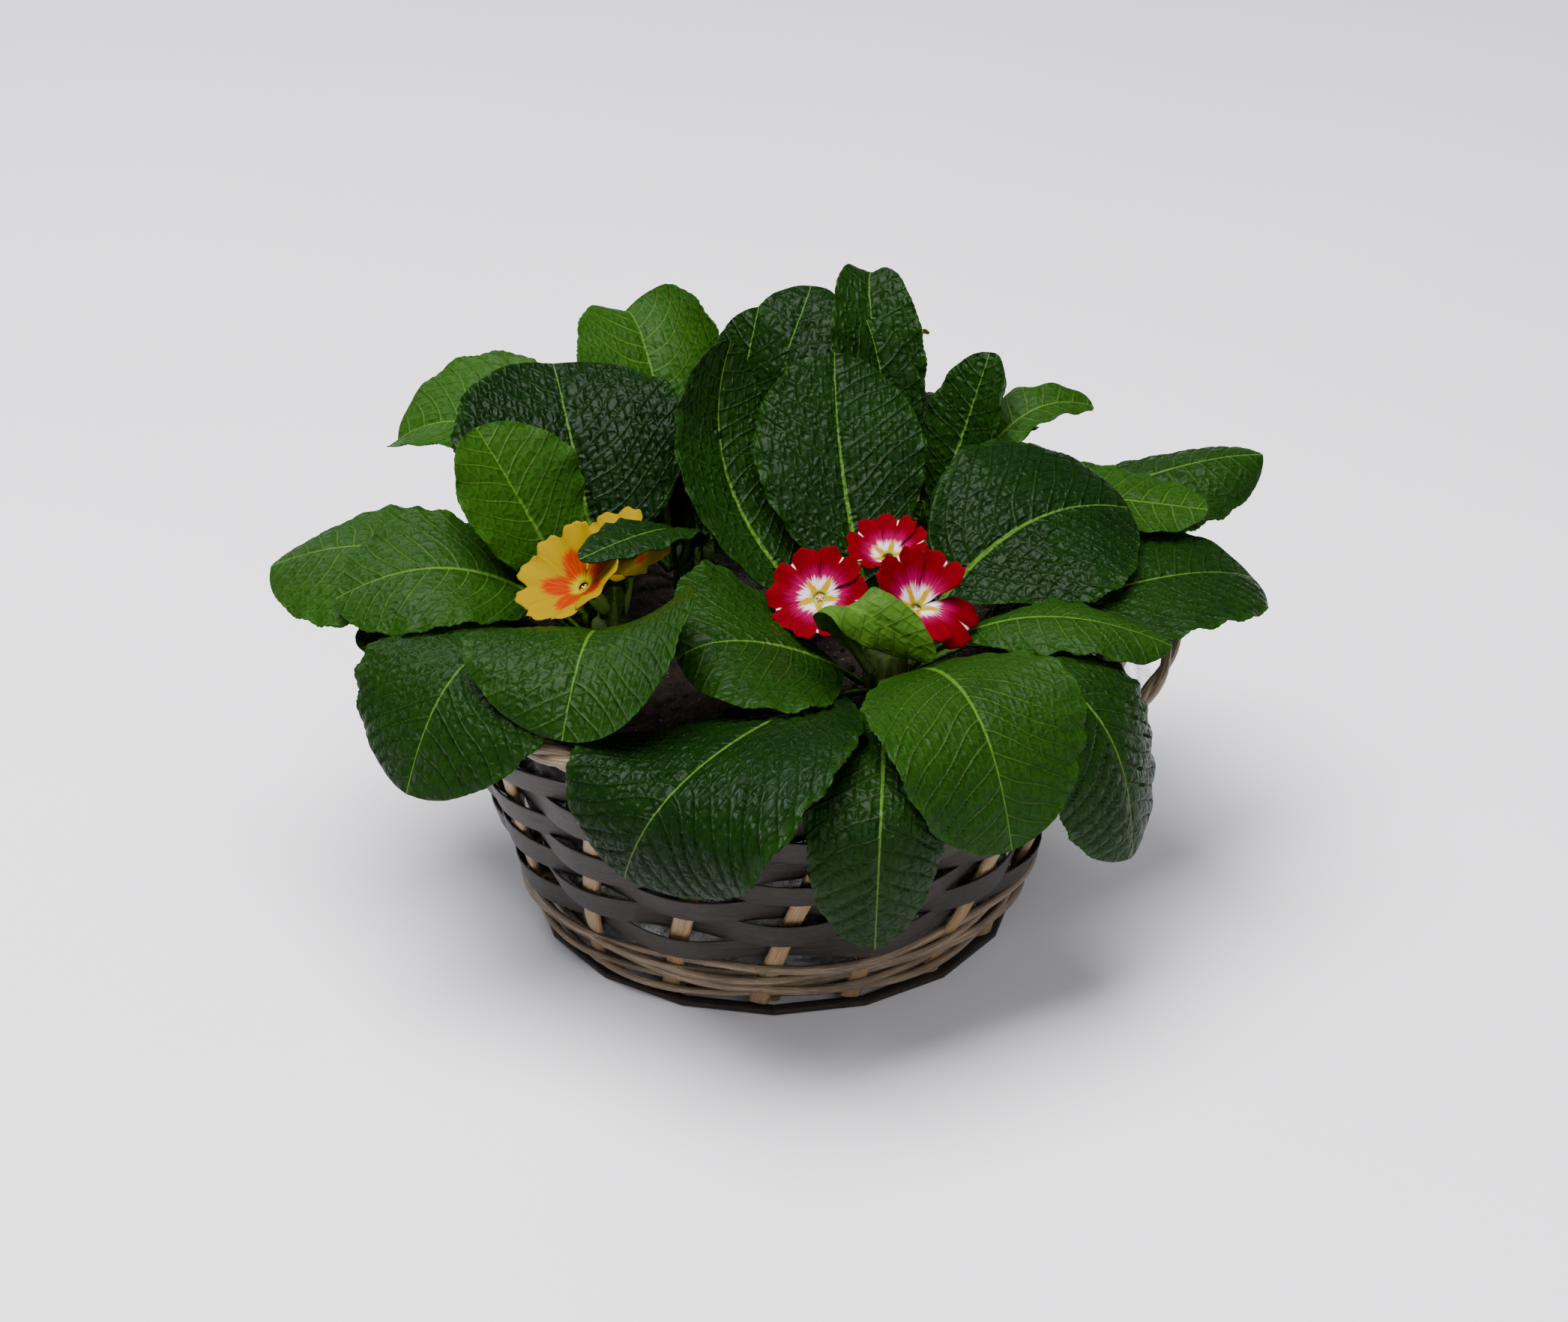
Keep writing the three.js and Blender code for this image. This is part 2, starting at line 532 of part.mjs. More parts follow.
function leafBody(leaf, stations = LEAF.stations, start = CROWN.radius + CLEARANCE) {
  const frame = leafFrame(leaf, start);
  const grid = stations.map((s, i) => {
    const { point, side, normal, ramp } = frame(s);
    const share = leafOutline(s);
    const tooth = i % 2 === 0 ? 1 : 1 - LEAF.tooth;
    const reach = LEAF.stalkHalf + (leaf.width / 2 - LEAF.stalkHalf) * share * tooth;
    const ridge = (i % 2 === 0 ? LEAF.quilt : -LEAF.quilt) * Math.min(1, share * 1.5);
    return LEAF.columns.map((a) => {
      const sign = Math.sign(a);
      const curl = radians(a < 0 ? leaf.curl[0] : leaf.curl[1]) * ramp;
      const vee = radians(leaf.vee) * ramp;
      const { across, lift } = arc(Math.abs(a) * reach, reach, vee, curl);
      const wave = leaf.wave * share * a * a * Math.sin(4 * Math.PI * s + sign);
      const rise = lift + wave + (Math.abs(a) === 0.5 ? ridge : 0);
      const angle = vee + curl * Math.abs(a);
      const p = point.clone().addScaledVector(side, sign * across).addScaledVector(normal, rise);
      const n = normal.clone().multiplyScalar(Math.cos(angle));
      n.addScaledVector(side, -sign * Math.sin(angle));
      const thickness = LEAF.edge + LEAF.rib * (1 - Math.abs(a)) * (1 - 0.7 * s);
      return { point: p, normal: n, thickness };
    });
  });
  return blade(grid);
}

// The frame of a bloom: the eye of its face, its axis and two directions in the face
function bloomFrame(bloom) {
  const eye = new THREE.Vector3(...bloom.eye);
  const [turn, tilt] = [radians(bloom.turn), radians(bloom.tilt)];
  const axis = polar(turn, Math.sin(tilt), Math.cos(tilt));
  const right = new THREE.Vector3(Math.cos(turn), Math.sin(turn), 0);
  return { eye, axis, right, top: new THREE.Vector3().crossVectors(axis, right) };
}

// A ring round a bloom's axis: for each of its points, the radius and the height along the axis
function ringOn(bloom, sides, at) {
  const { eye, axis, right, top } = bloomFrame(bloom);
  return Array.from({ length: sides }, (_, i) => {
    const angle = (2 * Math.PI * i) / sides + radians(bloom.spin);
    const [radius, height] = at(i);
    const point = eye.clone().addScaledVector(axis, height);
    point.addScaledVector(right, radius * Math.sin(angle));
    return point.addScaledVector(top, radius * Math.cos(angle));
  });
}

// The corolla, a narrow tube that opens into five notched lobes: four points of each ring make
// one lobe, its notch, shoulder, valley and shoulder
function corolla(bloom) {
  const edge = [COROLLA.notch, 1, COROLLA.valley, 1];
  const face = (share, drop) => ringOn(bloom, COROLLA.sides, (i) => {
    const far = share < 1 ? 1 : edge[i % 4];
    const reach = COROLLA.throat + (bloom.radius - COROLLA.throat) * share * far;
    const number = Math.floor(((i + 2) % COROLLA.sides) / 4);
    const rise = radians(bloom.cup - bloom.droop[number] * share);
    const step = COROLLA.overlap * share * [0, 1, 0, -1][i % 4];
    return [reach * Math.cos(rise), reach * Math.sin(rise) + step - drop];
  });
  const round = (radius, height) => ringOn(bloom, COROLLA.sides, () => [radius, height]);
  return loft([
    round(COROLLA.tube * 0.8, -COROLLA.length),
    round(COROLLA.tube, -3),
    face(0.5, COROLLA.thickness),
    face(1, COROLLA.thickness),
    face(1, 0),
    face(0.5, 0),
    round(COROLLA.throat * 0.7, -0.4),
  ]);
}

// A stalk from the crown's top to the bloom, with the toothed calyx round the bloom's tube
function bloomStalk(bloom) {
  const { eye, axis } = bloomFrame(bloom);
  const [cx, cy] = CROWNS[bloom.plant];
  const middle = new THREE.Vector3(...bloom.stalk);
  const lean = new THREE.Vector3(middle.x - cx, middle.y - cy, 0).setLength(STALK.offset);
  const foot = lean.add(new THREE.Vector3(cx, cy, CROWN.level + CROWN.rise - STALK.sunk));
  const floor = -COROLLA.length - CLEARANCE;
  const end = eye.clone().addScaledVector(axis, floor - 1);
  const stalk = rod([foot, middle, end], STALK.radius, STALK.sides);
  const lip = floor + CALYX.length;
  const tooth = (i) => lip + (i % 2 === 0 ? 0 : -CALYX.tooth);
  const inner = COROLLA.tube + CLEARANCE + CALYX.lip;
  const cup = (radius, height) => ringOn(bloom, CALYX.sides, () => [radius, height]);
  const calyx = loft([
    cup(CALYX.foot, floor - 2),
    cup(CALYX.radius, floor + 4),
    ringOn(bloom, CALYX.sides, (i) => [CALYX.radius - CALYX.lip, tooth(i)]),
    ringOn(bloom, CALYX.sides, (i) => [inner, tooth(i)]),
    cup(inner, floor),
  ]);
  return [stalk, calyx];
}

function crown(plant) {
  const [x, y] = CROWNS[plant];
  const [low, high] = [CROWN.level - CROWN.depth, CROWN.level + CROWN.rise];
  const profile = [[0, low], [CROWN.radius - 1.5, low], [CROWN.radius, CROWN.level - 5],
    [CROWN.radius, high - 2], [CROWN.radius - CROWN.shoulder, high], [0, high]];
  const pieces = [turned(profile, CROWN.sides).rotateZ(radians(CROWN.turn)).translate(x, y, 0)];
  for (const [turn, reach, rise, width] of HEART_LEAVES) {
    const heart = {
      plant,
      turn,
      tier: CROWN.rise - 2,
      mid: [reach * 0.7, high + rise * 0.5, 0],
      tip: [reach, high + rise, 0],
      width,
      roll: 0,
      vee: 10,
      curl: [20, 20],
      wave: 0,
    };
    pieces.push(leafBody(heart, [0, 0.35, 0.7, 0.97], HEART_START));
  }
  for (const bloom of BLOOMS) {
    if (bloom.plant === plant) pieces.push(...bloomStalk(bloom));
  }
  return join(pieces);
}

const part = new THREE.Group();
function add(name, geometry, look) {
  const mesh = new THREE.Mesh(geometry, look);
  mesh.name = name;
  part.add(mesh);
}

add("basket_frame", basketFrame(), material(COLOURS.stake, 0.7));
add("basket_foot", footRing(), material(COLOURS.chip, 0.6));
add("basket_chip_weave", chipWeave(), material(COLOURS.chip, 0.55));
add("basket_rod_weave", rodWeave(), material(COLOURS.willow, 0.65));
add("basket_rim", rim(), material(COLOURS.willow, 0.65));
add("basket_ear_right", ear(EARS.right), material(COLOURS.willow, 0.65));
add("basket_ear_left", ear(EARS.left), material(COLOURS.willow, 0.65));
add("liner", liner(), material(COLOURS.film, 0.2));
add("soil", soil(), material(COLOURS.soil, 0.95));
for (const plant of Object.keys(CROWNS)) {
  add(`crown_${plant}`, crown(plant), material(COLOURS.young, 0.5));
}
for (const leaf of LEAVES) {
  add(`leaf_${leaf.name}`, leafBody(leaf), material(COLOURS.leaf, 0.5));
}
for (const bloom of BLOOMS) {
  add(`bloom_${bloom.name}`, corolla(bloom), material(COLOURS[bloom.colour], 0.6));
}

export default part;
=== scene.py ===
# %% [markdown]
# # Potted primroses in a willow basket
# The real object is a round basket, woven from dark flat strips and pale round rods on seventeen
# stakes. A clear plastic liner holds the soil, and four primrose plants fill it: a yellow one and
# a crimson one in front, two leafy ones behind. Their broad, quilted leaves hide most of the rim.
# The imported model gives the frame: every piece below is built over one of its solids, in metres,
# with the origin at the centre of the basket's underside and the front facing -Y. All the sizes
# of the plant and the basket are written in millimetres and turned into metres in one place.

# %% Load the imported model
import math

import bpy
import numpy as np
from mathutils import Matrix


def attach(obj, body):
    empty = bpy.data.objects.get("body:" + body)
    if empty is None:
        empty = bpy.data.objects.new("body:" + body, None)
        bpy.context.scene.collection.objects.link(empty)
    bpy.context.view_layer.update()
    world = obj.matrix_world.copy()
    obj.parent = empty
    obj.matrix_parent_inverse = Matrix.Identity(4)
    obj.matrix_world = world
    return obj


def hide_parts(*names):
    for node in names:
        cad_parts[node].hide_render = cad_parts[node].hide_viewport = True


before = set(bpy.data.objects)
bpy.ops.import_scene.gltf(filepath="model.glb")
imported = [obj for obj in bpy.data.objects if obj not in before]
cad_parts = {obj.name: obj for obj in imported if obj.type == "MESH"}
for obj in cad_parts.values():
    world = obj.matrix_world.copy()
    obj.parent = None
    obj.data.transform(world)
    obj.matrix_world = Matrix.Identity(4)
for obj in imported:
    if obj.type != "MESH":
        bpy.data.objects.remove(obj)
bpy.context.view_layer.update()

MM = 0.001
print("packed nodes:", len(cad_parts))

# %% [markdown]
# ## Camera
# The photograph looks down at the basket by 29 degrees from a little over a metre away, with a
# long lens. The place of the camera was worked out from the ellipses of the basket's rim and foot.

# %% Camera
LENS = 75.84
CAMERA_PLACE = (0.00362, -1.12096, 0.72108)
CAMERA_TILT = 61

camera_data = bpy.data.cameras.new("photo_camera")
camera_data.lens = LENS
camera_data.sensor_width = 36
camera_data.clip_end = 20
camera = bpy.data.objects.new("photo_camera", camera_data)
camera.location = CAMERA_PLACE
camera.rotation_euler = (math.radians(CAMERA_TILT), 0, 0)
bpy.context.collection.objects.link(camera)
bpy.context.scene.camera = camera
print("camera lens", camera_data.lens, "mm")

# %% [markdown]
# ## Helpers for node trees
# Both shaders and Geometry Nodes are trees of nodes. A small class wraps a tree, so that one call
# adds a node, sets its values and wires its inputs. A function makes a node group with named
# sockets, so that an effect is built once and used by several materials with their own values.


# %% Node helpers
class Tree:
    """A node tree, with short ways to add a node to it and get what the node puts out."""

    def __init__(self, data):
        self.data = data

    def link(self, output, socket):
        self.data.links.new(output, socket)

    def feed(self, node, feeds):
        """Wires or sets a node's inputs, by name or number, each with an output socket or a value."""
        for key, value in (feeds or {}).items():
            if isinstance(value, bpy.types.NodeSocket):
                self.link(value, node.inputs[key])
            else:
                node.inputs[key].default_value = value
        return node

    def put(self, kind, feeds=None, **settings):
        made = self.data.nodes.new(kind)
        for key, value in settings.items():
            setattr(made, key, value)
        return self.feed(made, feeds)

    def use(self, group, feeds=None):
        """Places a node group and gives back its outputs."""
        return self.feed(self.put("ShaderNodeGroup", node_tree=group.data), feeds).outputs

    def maths(self, operation, a, b=0.0):
        return self.put("ShaderNodeMath", {0: a, 1: b}, operation=operation).outputs[0]

    def plus(self, a, b):
        return self.maths("ADD", a, b)

    def less(self, a, b):
        return self.maths("SUBTRACT", a, b)

    def times(self, a, b):
        return self.maths("MULTIPLY", a, b)

    def size(self, value):
        return self.maths("ABSOLUTE", value)

    def ramp(self, value, low, high, to_low=0.0, to_high=1.0):
        """A soft step from to_low to to_high as value goes from low to high."""
        feeds = {"Value": value, "From Min": low, "From Max": high, "To Min": to_low, "To Max": to_high}
        return self.put("ShaderNodeMapRange", feeds, interpolation_type="SMOOTHSTEP").outputs[0]

    def blend(self, share, first, second):
        """The first colour, turning into the second as share goes from 0 to 1."""
        colours = [(*value, 1) if isinstance(value, tuple) else value for value in (first, second)]
        feeds = {0: share, 6: colours[0], 7: colours[1]}
        return self.put("ShaderNodeMix", feeds, data_type="RGBA").outputs[2]

    def split(self, vector):
        return self.put("ShaderNodeSeparateXYZ", {0: vector}).outputs

    def joined(self, x, y, z=0.0):
        return self.put("ShaderNodeCombineXYZ", {0: x, 1: y, 2: z}).outputs[0]

    def noise(self, vector, scale, detail=3.0, rough=0.5):
        feeds = {"Vector": vector, "Scale": scale, "Detail": detail, "Roughness": rough}
        return self.put("ShaderNodeTexNoise", feeds).outputs[0]

    def attribute(self, name, output="Vector"):
        return self.put("ShaderNodeAttribute", attribute_name=name).outputs[output]

    def place(self):
        """Where a point lies on the object, in metres."""
        return self.put("ShaderNodeTexCoord").outputs["Object"]

    def dress(self, shader, colour, roughness=None):
        self.link(colour, shader.inputs["Base Color"])
        if roughness is not None:
            self.link(roughness, shader.inputs["Roughness"])

    def relief(self, shader, height, distance, strength=1.0):
        feeds = {"Height": height, "Distance": distance, "Strength": strength}
        self.link(self.put("ShaderNodeBump", feeds).outputs[0], shader.inputs["Normal"])

    def give(self, taken, results):
        """Wires the named results of a group to its output node."""
        for label, value in results.items():
            self.link(value, taken.inputs[label])


print("node trees can be built")


# %% Node groups, colours and materials
def group_tree(name, kind, inputs, outputs):
    """A node group with named sockets; gives back the tree, its input node and its output node."""
    data = bpy.data.node_groups.new(name, kind)
    for direction, sockets in (("INPUT", inputs), ("OUTPUT", outputs)):
        for label, socket, *value in sockets:
            made = data.interface.new_socket(name=label, in_out=direction, socket_type=socket)
            if value:
                made.default_value = value[0]
    return Tree(data), data.nodes.new("NodeGroupInput"), data.nodes.new("NodeGroupOutput")


def srgb(red, green, blue):
    """A colour as a screen shows it, 0 to 255, turned into the linear values that shaders use."""
    shares = [channel / 255 for channel in (red, green, blue)]
    return tuple(c / 12.92 if c <= 0.04045 else ((c + 0.055) / 1.055) ** 2.4 for c in shares)


def finish(name, **values):
    """A new material: its tree, its Principled shader and the material itself."""
    material = bpy.data.materials.new(name)
    material.use_nodes = True
    shader = material.node_tree.nodes["Principled BSDF"]
    for key, value in values.items():
        shader.inputs[key.replace("_", " ")].default_value = value
    return Tree(material.node_tree), shader, material


print("groups and materials can be made")

# %% [markdown]
# ## Floor and light
# The basket stands on a pale sheet under soft, even light: a large lamp overhead and a bright,
# faintly blue surround. The lamps are wide, so the shadows under the leaves have no hard edge.

# %% Floor
FLOOR_HALF = 4.0
FLOOR_LEVEL = -0.0004

floor_mesh = bpy.data.meshes.new("floor")
corners = [(-1, -1), (1, -1), (1, 1), (-1, 1)]
floor_points = [(x * FLOOR_HALF, y * FLOOR_HALF, FLOOR_LEVEL) for x, y in corners]
floor_mesh.from_pydata(floor_points, [], [(0, 1, 2, 3)])
floor = bpy.data.objects.new("floor", floor_mesh)
bpy.context.collection.objects.link(floor)
tree, shader, floor_finish = finish("floor_sheet", Roughness=0.62)
cloud = tree.noise(tree.place(), 3.0)
tree.dress(shader, tree.blend(cloud, srgb(226, 224, 231), srgb(236, 234, 240)))
floor_mesh.materials.append(floor_finish)
print("floor sheet:", 2 * FLOOR_HALF, "m wide")


# %% Lights
def lamp(name, place, size, power, aim=(0, 0, 0.1), colour=(1, 1, 1)):
    data = bpy.data.lights.new(name, "AREA")
    data.shape = "SQUARE"
    data.size = size
    data.energy = power
    data.color = colour
    made = bpy.data.objects.new(name, data)
    made.location = place
    toward = [a - b for a, b in zip(aim, place)]
    flat = math.hypot(toward[0], toward[1])
    made.rotation_euler = (math.atan2(flat, -toward[2]), 0, math.atan2(toward[1], toward[0]) - math.pi / 2)
    bpy.context.collection.objects.link(made)


lamp("overhead", (-0.3, -0.2, 2.0), 1.5, 130)
lamp("front_fill", (0.9, -1.8, 1.3), 1.2, 20)
lamp("back_window", (-1.2, 1.6, 1.4), 1.0, 16, colour=(0.9, 0.95, 1))
world = bpy.data.worlds.new("studio")
bpy.context.scene.world = world
world.use_nodes = True
surround = world.node_tree.nodes["Background"].inputs
surround["Color"].default_value = (0.88, 0.9, 0.96, 1)
surround["Strength"].default_value = 0.3

# %% [markdown]
# ## Leaf skin
# A primrose leaf is quilted: the skin swells between a pale midrib, side veins that curve
# toward the tip, and a fine net of veinlets. The net is one node group, used by both the upper
# and the lower skin. It reads numbers that each leaf's mesh carries: how far on a point is from
# one side vein to the next, its distance from the midrib and its distance from the foot, and its
# share of the way to the tip.

# %% The net of veins
LINK_STEP = 4.4
LINK_SHIFT = 0.37

net_tree, given, taken = group_tree(
    "leaf veins", "ShaderNodeTree",
    [("Veins", "NodeSocketVector"), ("Blade", "NodeSocketVector"), ("Net width", "NodeSocketFloat", 0.1)],
    [("Rib", "NodeSocketFloat"), ("Side", "NodeSocketFloat"), ("Net", "NodeSocketFloat"),
     ("Relief", "NodeSocketFloat")])
vein_base, from_rib, out_along = net_tree.split(given.outputs["Veins"])
along = net_tree.split(given.outputs["Blade"])[0]


def zigzag(tree, value):
    """0 half way between whole numbers, 1 at each of them."""
    part = tree.maths("FRACT", value)
    return tree.times(tree.size(tree.less(part, 0.5)), 2.0)


right_side = net_tree.maths("GREATER_THAN", from_rib, 0.0)
vein = net_tree.plus(vein_base, net_tree.times(right_side, 0.5))
apart = net_tree.size(from_rib)
shift = net_tree.times(net_tree.maths("FLOOR", vein), LINK_SHIFT)
link = net_tree.plus(net_tree.times(apart, 1 / LINK_STEP), shift)
near_vein, near_link = zigzag(net_tree, vein), zigzag(net_tree, link)
rib_width = net_tree.ramp(along, 0.1, 0.95, 1.4, 0.3)
rib_mask = net_tree.ramp(net_tree.maths("DIVIDE", apart, rib_width), 0.45, 1.15, 1.0, 0.0)
side_mask = net_tree.ramp(near_vein, 0.86, 0.97)
flat = net_tree.joined(from_rib, out_along)
cells = net_tree.put("ShaderNodeTexVoronoi", {"Vector": flat, "Scale": 0.27}, feature="DISTANCE_TO_EDGE")
net_mask = net_tree.ramp(cells.outputs["Distance"], 0.0, given.outputs["Net width"], 1.0, 0.0)
pillow = net_tree.less(1.0, net_tree.maths("POWER", near_vein, 3.0))
links = net_tree.less(1.0, net_tree.times(net_tree.maths("POWER", near_link, 4.0), 0.5))
fine = net_tree.times(net_tree.ramp(cells.outputs["Distance"], 0.0, 0.36), 0.42)
swell = net_tree.plus(net_tree.times(pillow, links), fine)
net_tree.give(taken, {"Rib": rib_mask, "Side": side_mask, "Net": net_mask, "Relief": swell})
print("vein group has", len(net_tree.data.nodes), "nodes")


# %% Upper and lower skin of the leaves
def leaf_skin(name, dark, light, rib, rib_show, side_show, net_show, depth, smooth, dull):
    """Between dark and light by the leaf's tone; the ribs show by their own shares, 0 to 1."""
    tree, shader, made = finish(name, Specular_IOR_Level=0.06)
    veins, blade = tree.attribute("veins"), tree.attribute("blade")
    across, tone = tree.split(blade)[1:]
    net = tree.use(net_tree, {"Veins": veins, "Blade": blade, "Net width": 0.1})
    place = tree.place()
    patches = tree.noise(place, 38.0, 4.0, 0.6)
    shade = tree.plus(tone, tree.times(tree.less(patches, 0.5), 0.4))
    colour = tree.blend(tree.ramp(shade, 0.0, 1.0), dark, light)
    colour = tree.blend(tree.ramp(tone, 0.75, 1.25, 0.0, 0.6), colour, rib)
    # Painted shade: the colour is darkened toward the dark green in the low valleys of the quilting, where
    # shade falls between the swellings.
    painted_crease_shade = tree.times(tree.ramp(net["Relief"], 0.1, 0.9, 1.0, 0.0), 0.45)
    colour = tree.blend(painted_crease_shade, colour, dark)
    margin = tree.ramp(tree.size(across), 0.86, 1.0, 0.0, 0.25)
    colour = tree.blend(margin, colour, light)
    lit = tree.ramp(tone, 0.15, 0.8, 0.12, 1.0)
    colour = tree.blend(tree.times(tree.times(net["Net"], net_show), lit), colour, rib)
    fade = tree.ramp(tree.size(across), 0.3, 1.0, 1.0, 0.35)
    side = tree.times(tree.times(net["Side"], side_show), tree.times(fade, lit))
    colour = tree.blend(side, colour, rib)
    colour = tree.blend(tree.times(net["Rib"], rib_show), colour, rib)
    specks = tree.noise(place, 900.0, 2.0)
    tree.dress(shader, colour, tree.plus(tree.ramp(tone, 0.0, 1.0, smooth, dull), tree.times(specks, 0.16)))
    swollen = tree.times(net["Relief"], tree.ramp(tone, 0.2, 0.65, 1.0, 0.5))
    tree.relief(shader, tree.plus(swollen, tree.times(specks, 0.08)), depth)
    return made


leaf_face = leaf_skin("leaf_upper_skin", srgb(4, 22, 3), srgb(28, 61, 5), srgb(66, 98, 28),
                      0.85, 0.6, 0.14, 0.001, 0.24, 0.42)
leaf_back = leaf_skin("leaf_lower_skin", srgb(18, 39, 10), srgb(46, 76, 16), srgb(88, 114, 50),
                      0.9, 0.6, 0.3, -0.0005, 0.6, 0.7)
print("leaf skins:", leaf_face.name, leaf_back.name)

# %% [markdown]
# ## The leaves
# Each leaf is one row of a table: the plant it grows from, how high its stalk leaves the crown,
# the way it points, the middle and the tip of its midrib, its width, how it rolls, folds, curls
# and waves, and its tone, from dark old leaves (0) to light young ones (1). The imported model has
# the same leaves with a few faces each. Here they are made again on a fine grid, so that the
# quilting, the toothed margin and its small ruffles have a shape, and not only a shading.

# %% The plants' crowns and the table of leaves
CROWNS = {"yellow": (-62, -8), "crimson": (42, -30), "left": (-32, 52), "right": (54, 50)}
CROWN = {"radius": 9, "level": 108, "depth": 16, "rise": 15}
CLEARANCE = 0.35
LEAVES = []


def leaf(name, plant, tier, turn, mid, tip, width, roll, vee, curl, wave, tone, **extra):
    LEAVES.append(dict(name=name, plant=plant, tier=tier, turn=turn, mid=mid, tip=tip, width=width,
                       roll=roll, vee=vee, curl=curl, wave=wave, tone=tone, **extra))


leaf("yellow_far_left", "yellow", 4, -100, (72, 147, 4), (135, 133, 0), 80,
     -10, -6, (-20, -15), 2, 0.60)
leaf("yellow_left_front", "yellow", 8, -84, (55, 151, 8), (104, 139, 4), 62,
     -14, 0, (5, -15), 2, 0.55)
leaf("left_upper_light", "left", 4, -100, (70, 168, 5), (120, 160, 0), 70,
     -20, 10, (0, 40), 2, 0.80)
leaf("yellow_back_glossy", "yellow", 6, -166, (38, 170, 5), (78, 196, 6), 96,
     0, 5, (0, 10), 2, 0.12)
leaf("yellow_upright_light", "yellow", 11, -111, (34, 167, 4), (54, 194, 0), 56,
     -25, 5, (10, 15), 2, 0.80)
leaf("left_small_over_bloom", "left", 14, -23, (52, 158, 15), (101, 165, 0), 30,
     0, 5, (-10, -10), 1, 0.25, ease=0.6)
leaf("left_curled_upright", "left", 10, -50, (15, 154, 0), (15, 181, -4), 34,
     60, 10, (30, 30), 1, 0.20)
leaf("left_hanging", "left", 8, 6, (19, 183, 2), (36, 148, 1), 16,
     0, -10, (-30, -30), 1, 0.20)
leaf("crimson_tall", "crimson", 8, -139, (72, 160, 12), (100, 212, -9), 48,
     0, 5, (10, 10), 1, 0.30)
leaf("yellow_front", "yellow", 6, -7, (68, 151, 3), (106, 130, 0), 90,
     1, 4, (-10, 42), 2, 0.42)
leaf("yellow_front_left", "yellow", 2, -40, (77, 142, 5), (117, 101, 6), 94,
     3, 0, (-10, -20), 2, 0.34)
leaf("yellow_under_left", "yellow", 1, -78, (56, 130, 6), (98, 126, 0), 44,
     -10, 0, (-10, -10), 2, 0.25)
leaf("crimson_centre", "crimson", 2, -66, (50, 138, 6), (86, 138, 3), 90,
     -13, 0, (0, 10), 2, 0.40, ease=0.5)
leaf("crimson_front_glossy", "crimson", 0, -43, (99, 133, 19), (145, 90, 6), 100,
     11, 0, (-10, -10), 2, 0.20, lay=-20, ease=0.4)
leaf("crimson_front_hanging", "crimson", 0, -4, (93, 131, 3), (118, 65, 2), 54,
     0, -5, (-15, -15), 2, 0.32, lay=12, ease=0.35)
leaf("crimson_front_light", "crimson", 3, 28, (66, 143, -10), (112, 98, -12), 84,
     0, 0, (0, 5), 2, 0.52, lay=34, ease=0.4)
leaf("crimson_right_low", "crimson", 2, 55, (74, 138, -8), (112, 72, -5), 72,
     0, 0, (-40, -20), 2, 0.34, ease=0.4)
leaf("crimson_right_side", "crimson", 8, 79, (55, 142, -2), (107, 134, 0), 44,
     -6, 0, (-40, -20), 2, 0.50)
leaf("crimson_right_quilted", "crimson", 10, 122, (60, 154, 3), (114, 150, 2), 88,
     32, 4, (10, -32), 2, 0.20, lay=130)
leaf("crimson_back_quilted", "crimson", 10, -167, (48, 164, 4), (84, 207, 0), 68,
     0, 4, (-10, -10), 2, 0.24)
leaf("crimson_far_right", "crimson", 3, 112, (94, 136, -12), (152, 126, -8), 80,
     5, 4, (-10, 0), 2, 0.30)
leaf("crimson_curled_light", "crimson", 9, -36, (36, 157, 5), (22, 138, 36), 22,
     0, 0, (-20, -30), 2, 1.20, lay=0)
leaf("right_far_point", "right", 5, 98, (88, 148, -2), (143, 153, 4), 60,
     10, -10, (-50, -30), 2, 0.40)
leaf("right_folded_light", "right", 11, 83, (62, 148, 2), (116, 147, 1), 44,
     14, 0, (5, -10), 2, 0.60, ease=0.85)
leaf("right_small_tip", "right", 7, 108, (40, 168, 3), (78, 172, 5), 28,
     10, 5, (10, 10), 1, 0.60)
leaf("right_back_dark", "right", 4, 132, (38, 157, 0), (63, 157, 0), 40,
     0, 5, (10, 10), 2, 0.25)
leaf("right_back_small", "right", 10, 146, (28, 171, -8), (42, 195, -9), 37,
     -10, 5, (10, 10), 1, 0.30)
leaf("right_back_upright", "right", 7, -169, (46, 195, 6), (72, 212, 1), 40,
     0, 10, (20, 20), 1, 0.30)
leaf("right_upright_matte", "right", 12, -145, (24, 178, -4), (40, 206, -6), 30,
     0, 10, (20, 20), 1, 0.30)
leaf("right_inner", "right", 13, -120, (12, 150, 1), (15, 180, -2), 16,
     0, 10, (20, 20), 1, 0.10, lay=-150)
leaf("left_back_dark", "left", 3, 158, (63, 178, -12), (95, 200, -12), 52,
     0, 5, (-10, -10), 2, 0.20)
leaf("left_matte", "left", 10, 145, (26, 180, -4), (42, 212, -2), 42,
     0, 5, (-20, -20), 1, 0.25)
leaf("left_back_light", "left", 5, -160, (52, 178, 0), (86, 190, 0), 66,
     0, 10, (60, 10), 2, 0.70)
leaf("right_arching", "right", 1, -150, (50, 164, -10), (44, 170, 4), 42,
     50, -5, (-30, -30), 2, 0.45)
leaf("right_back_low", "right", 1, 162, (58, 156, 0), (106, 130, 0), 66,
     0, 5, (-10, -10), 2, 0.30)
leaf("right_side_low", "right", 1, 130, (60, 131, 0), (108, 122, 0), 60,
     0, 5, (-10, -10), 2, 0.30)
leaf("left_back_low", "left", 1, -176, (56, 152, 0), (106, 130, 0), 66,
     0, 5, (-10, -10), 2, 0.30)
leaf("left_side_low", "left", 2, -124, (60, 150, 0), (110, 128, 0), 66,
     0, 5, (-10, -10), 2, 0.30)
print("leaves:", len(LEAVES))

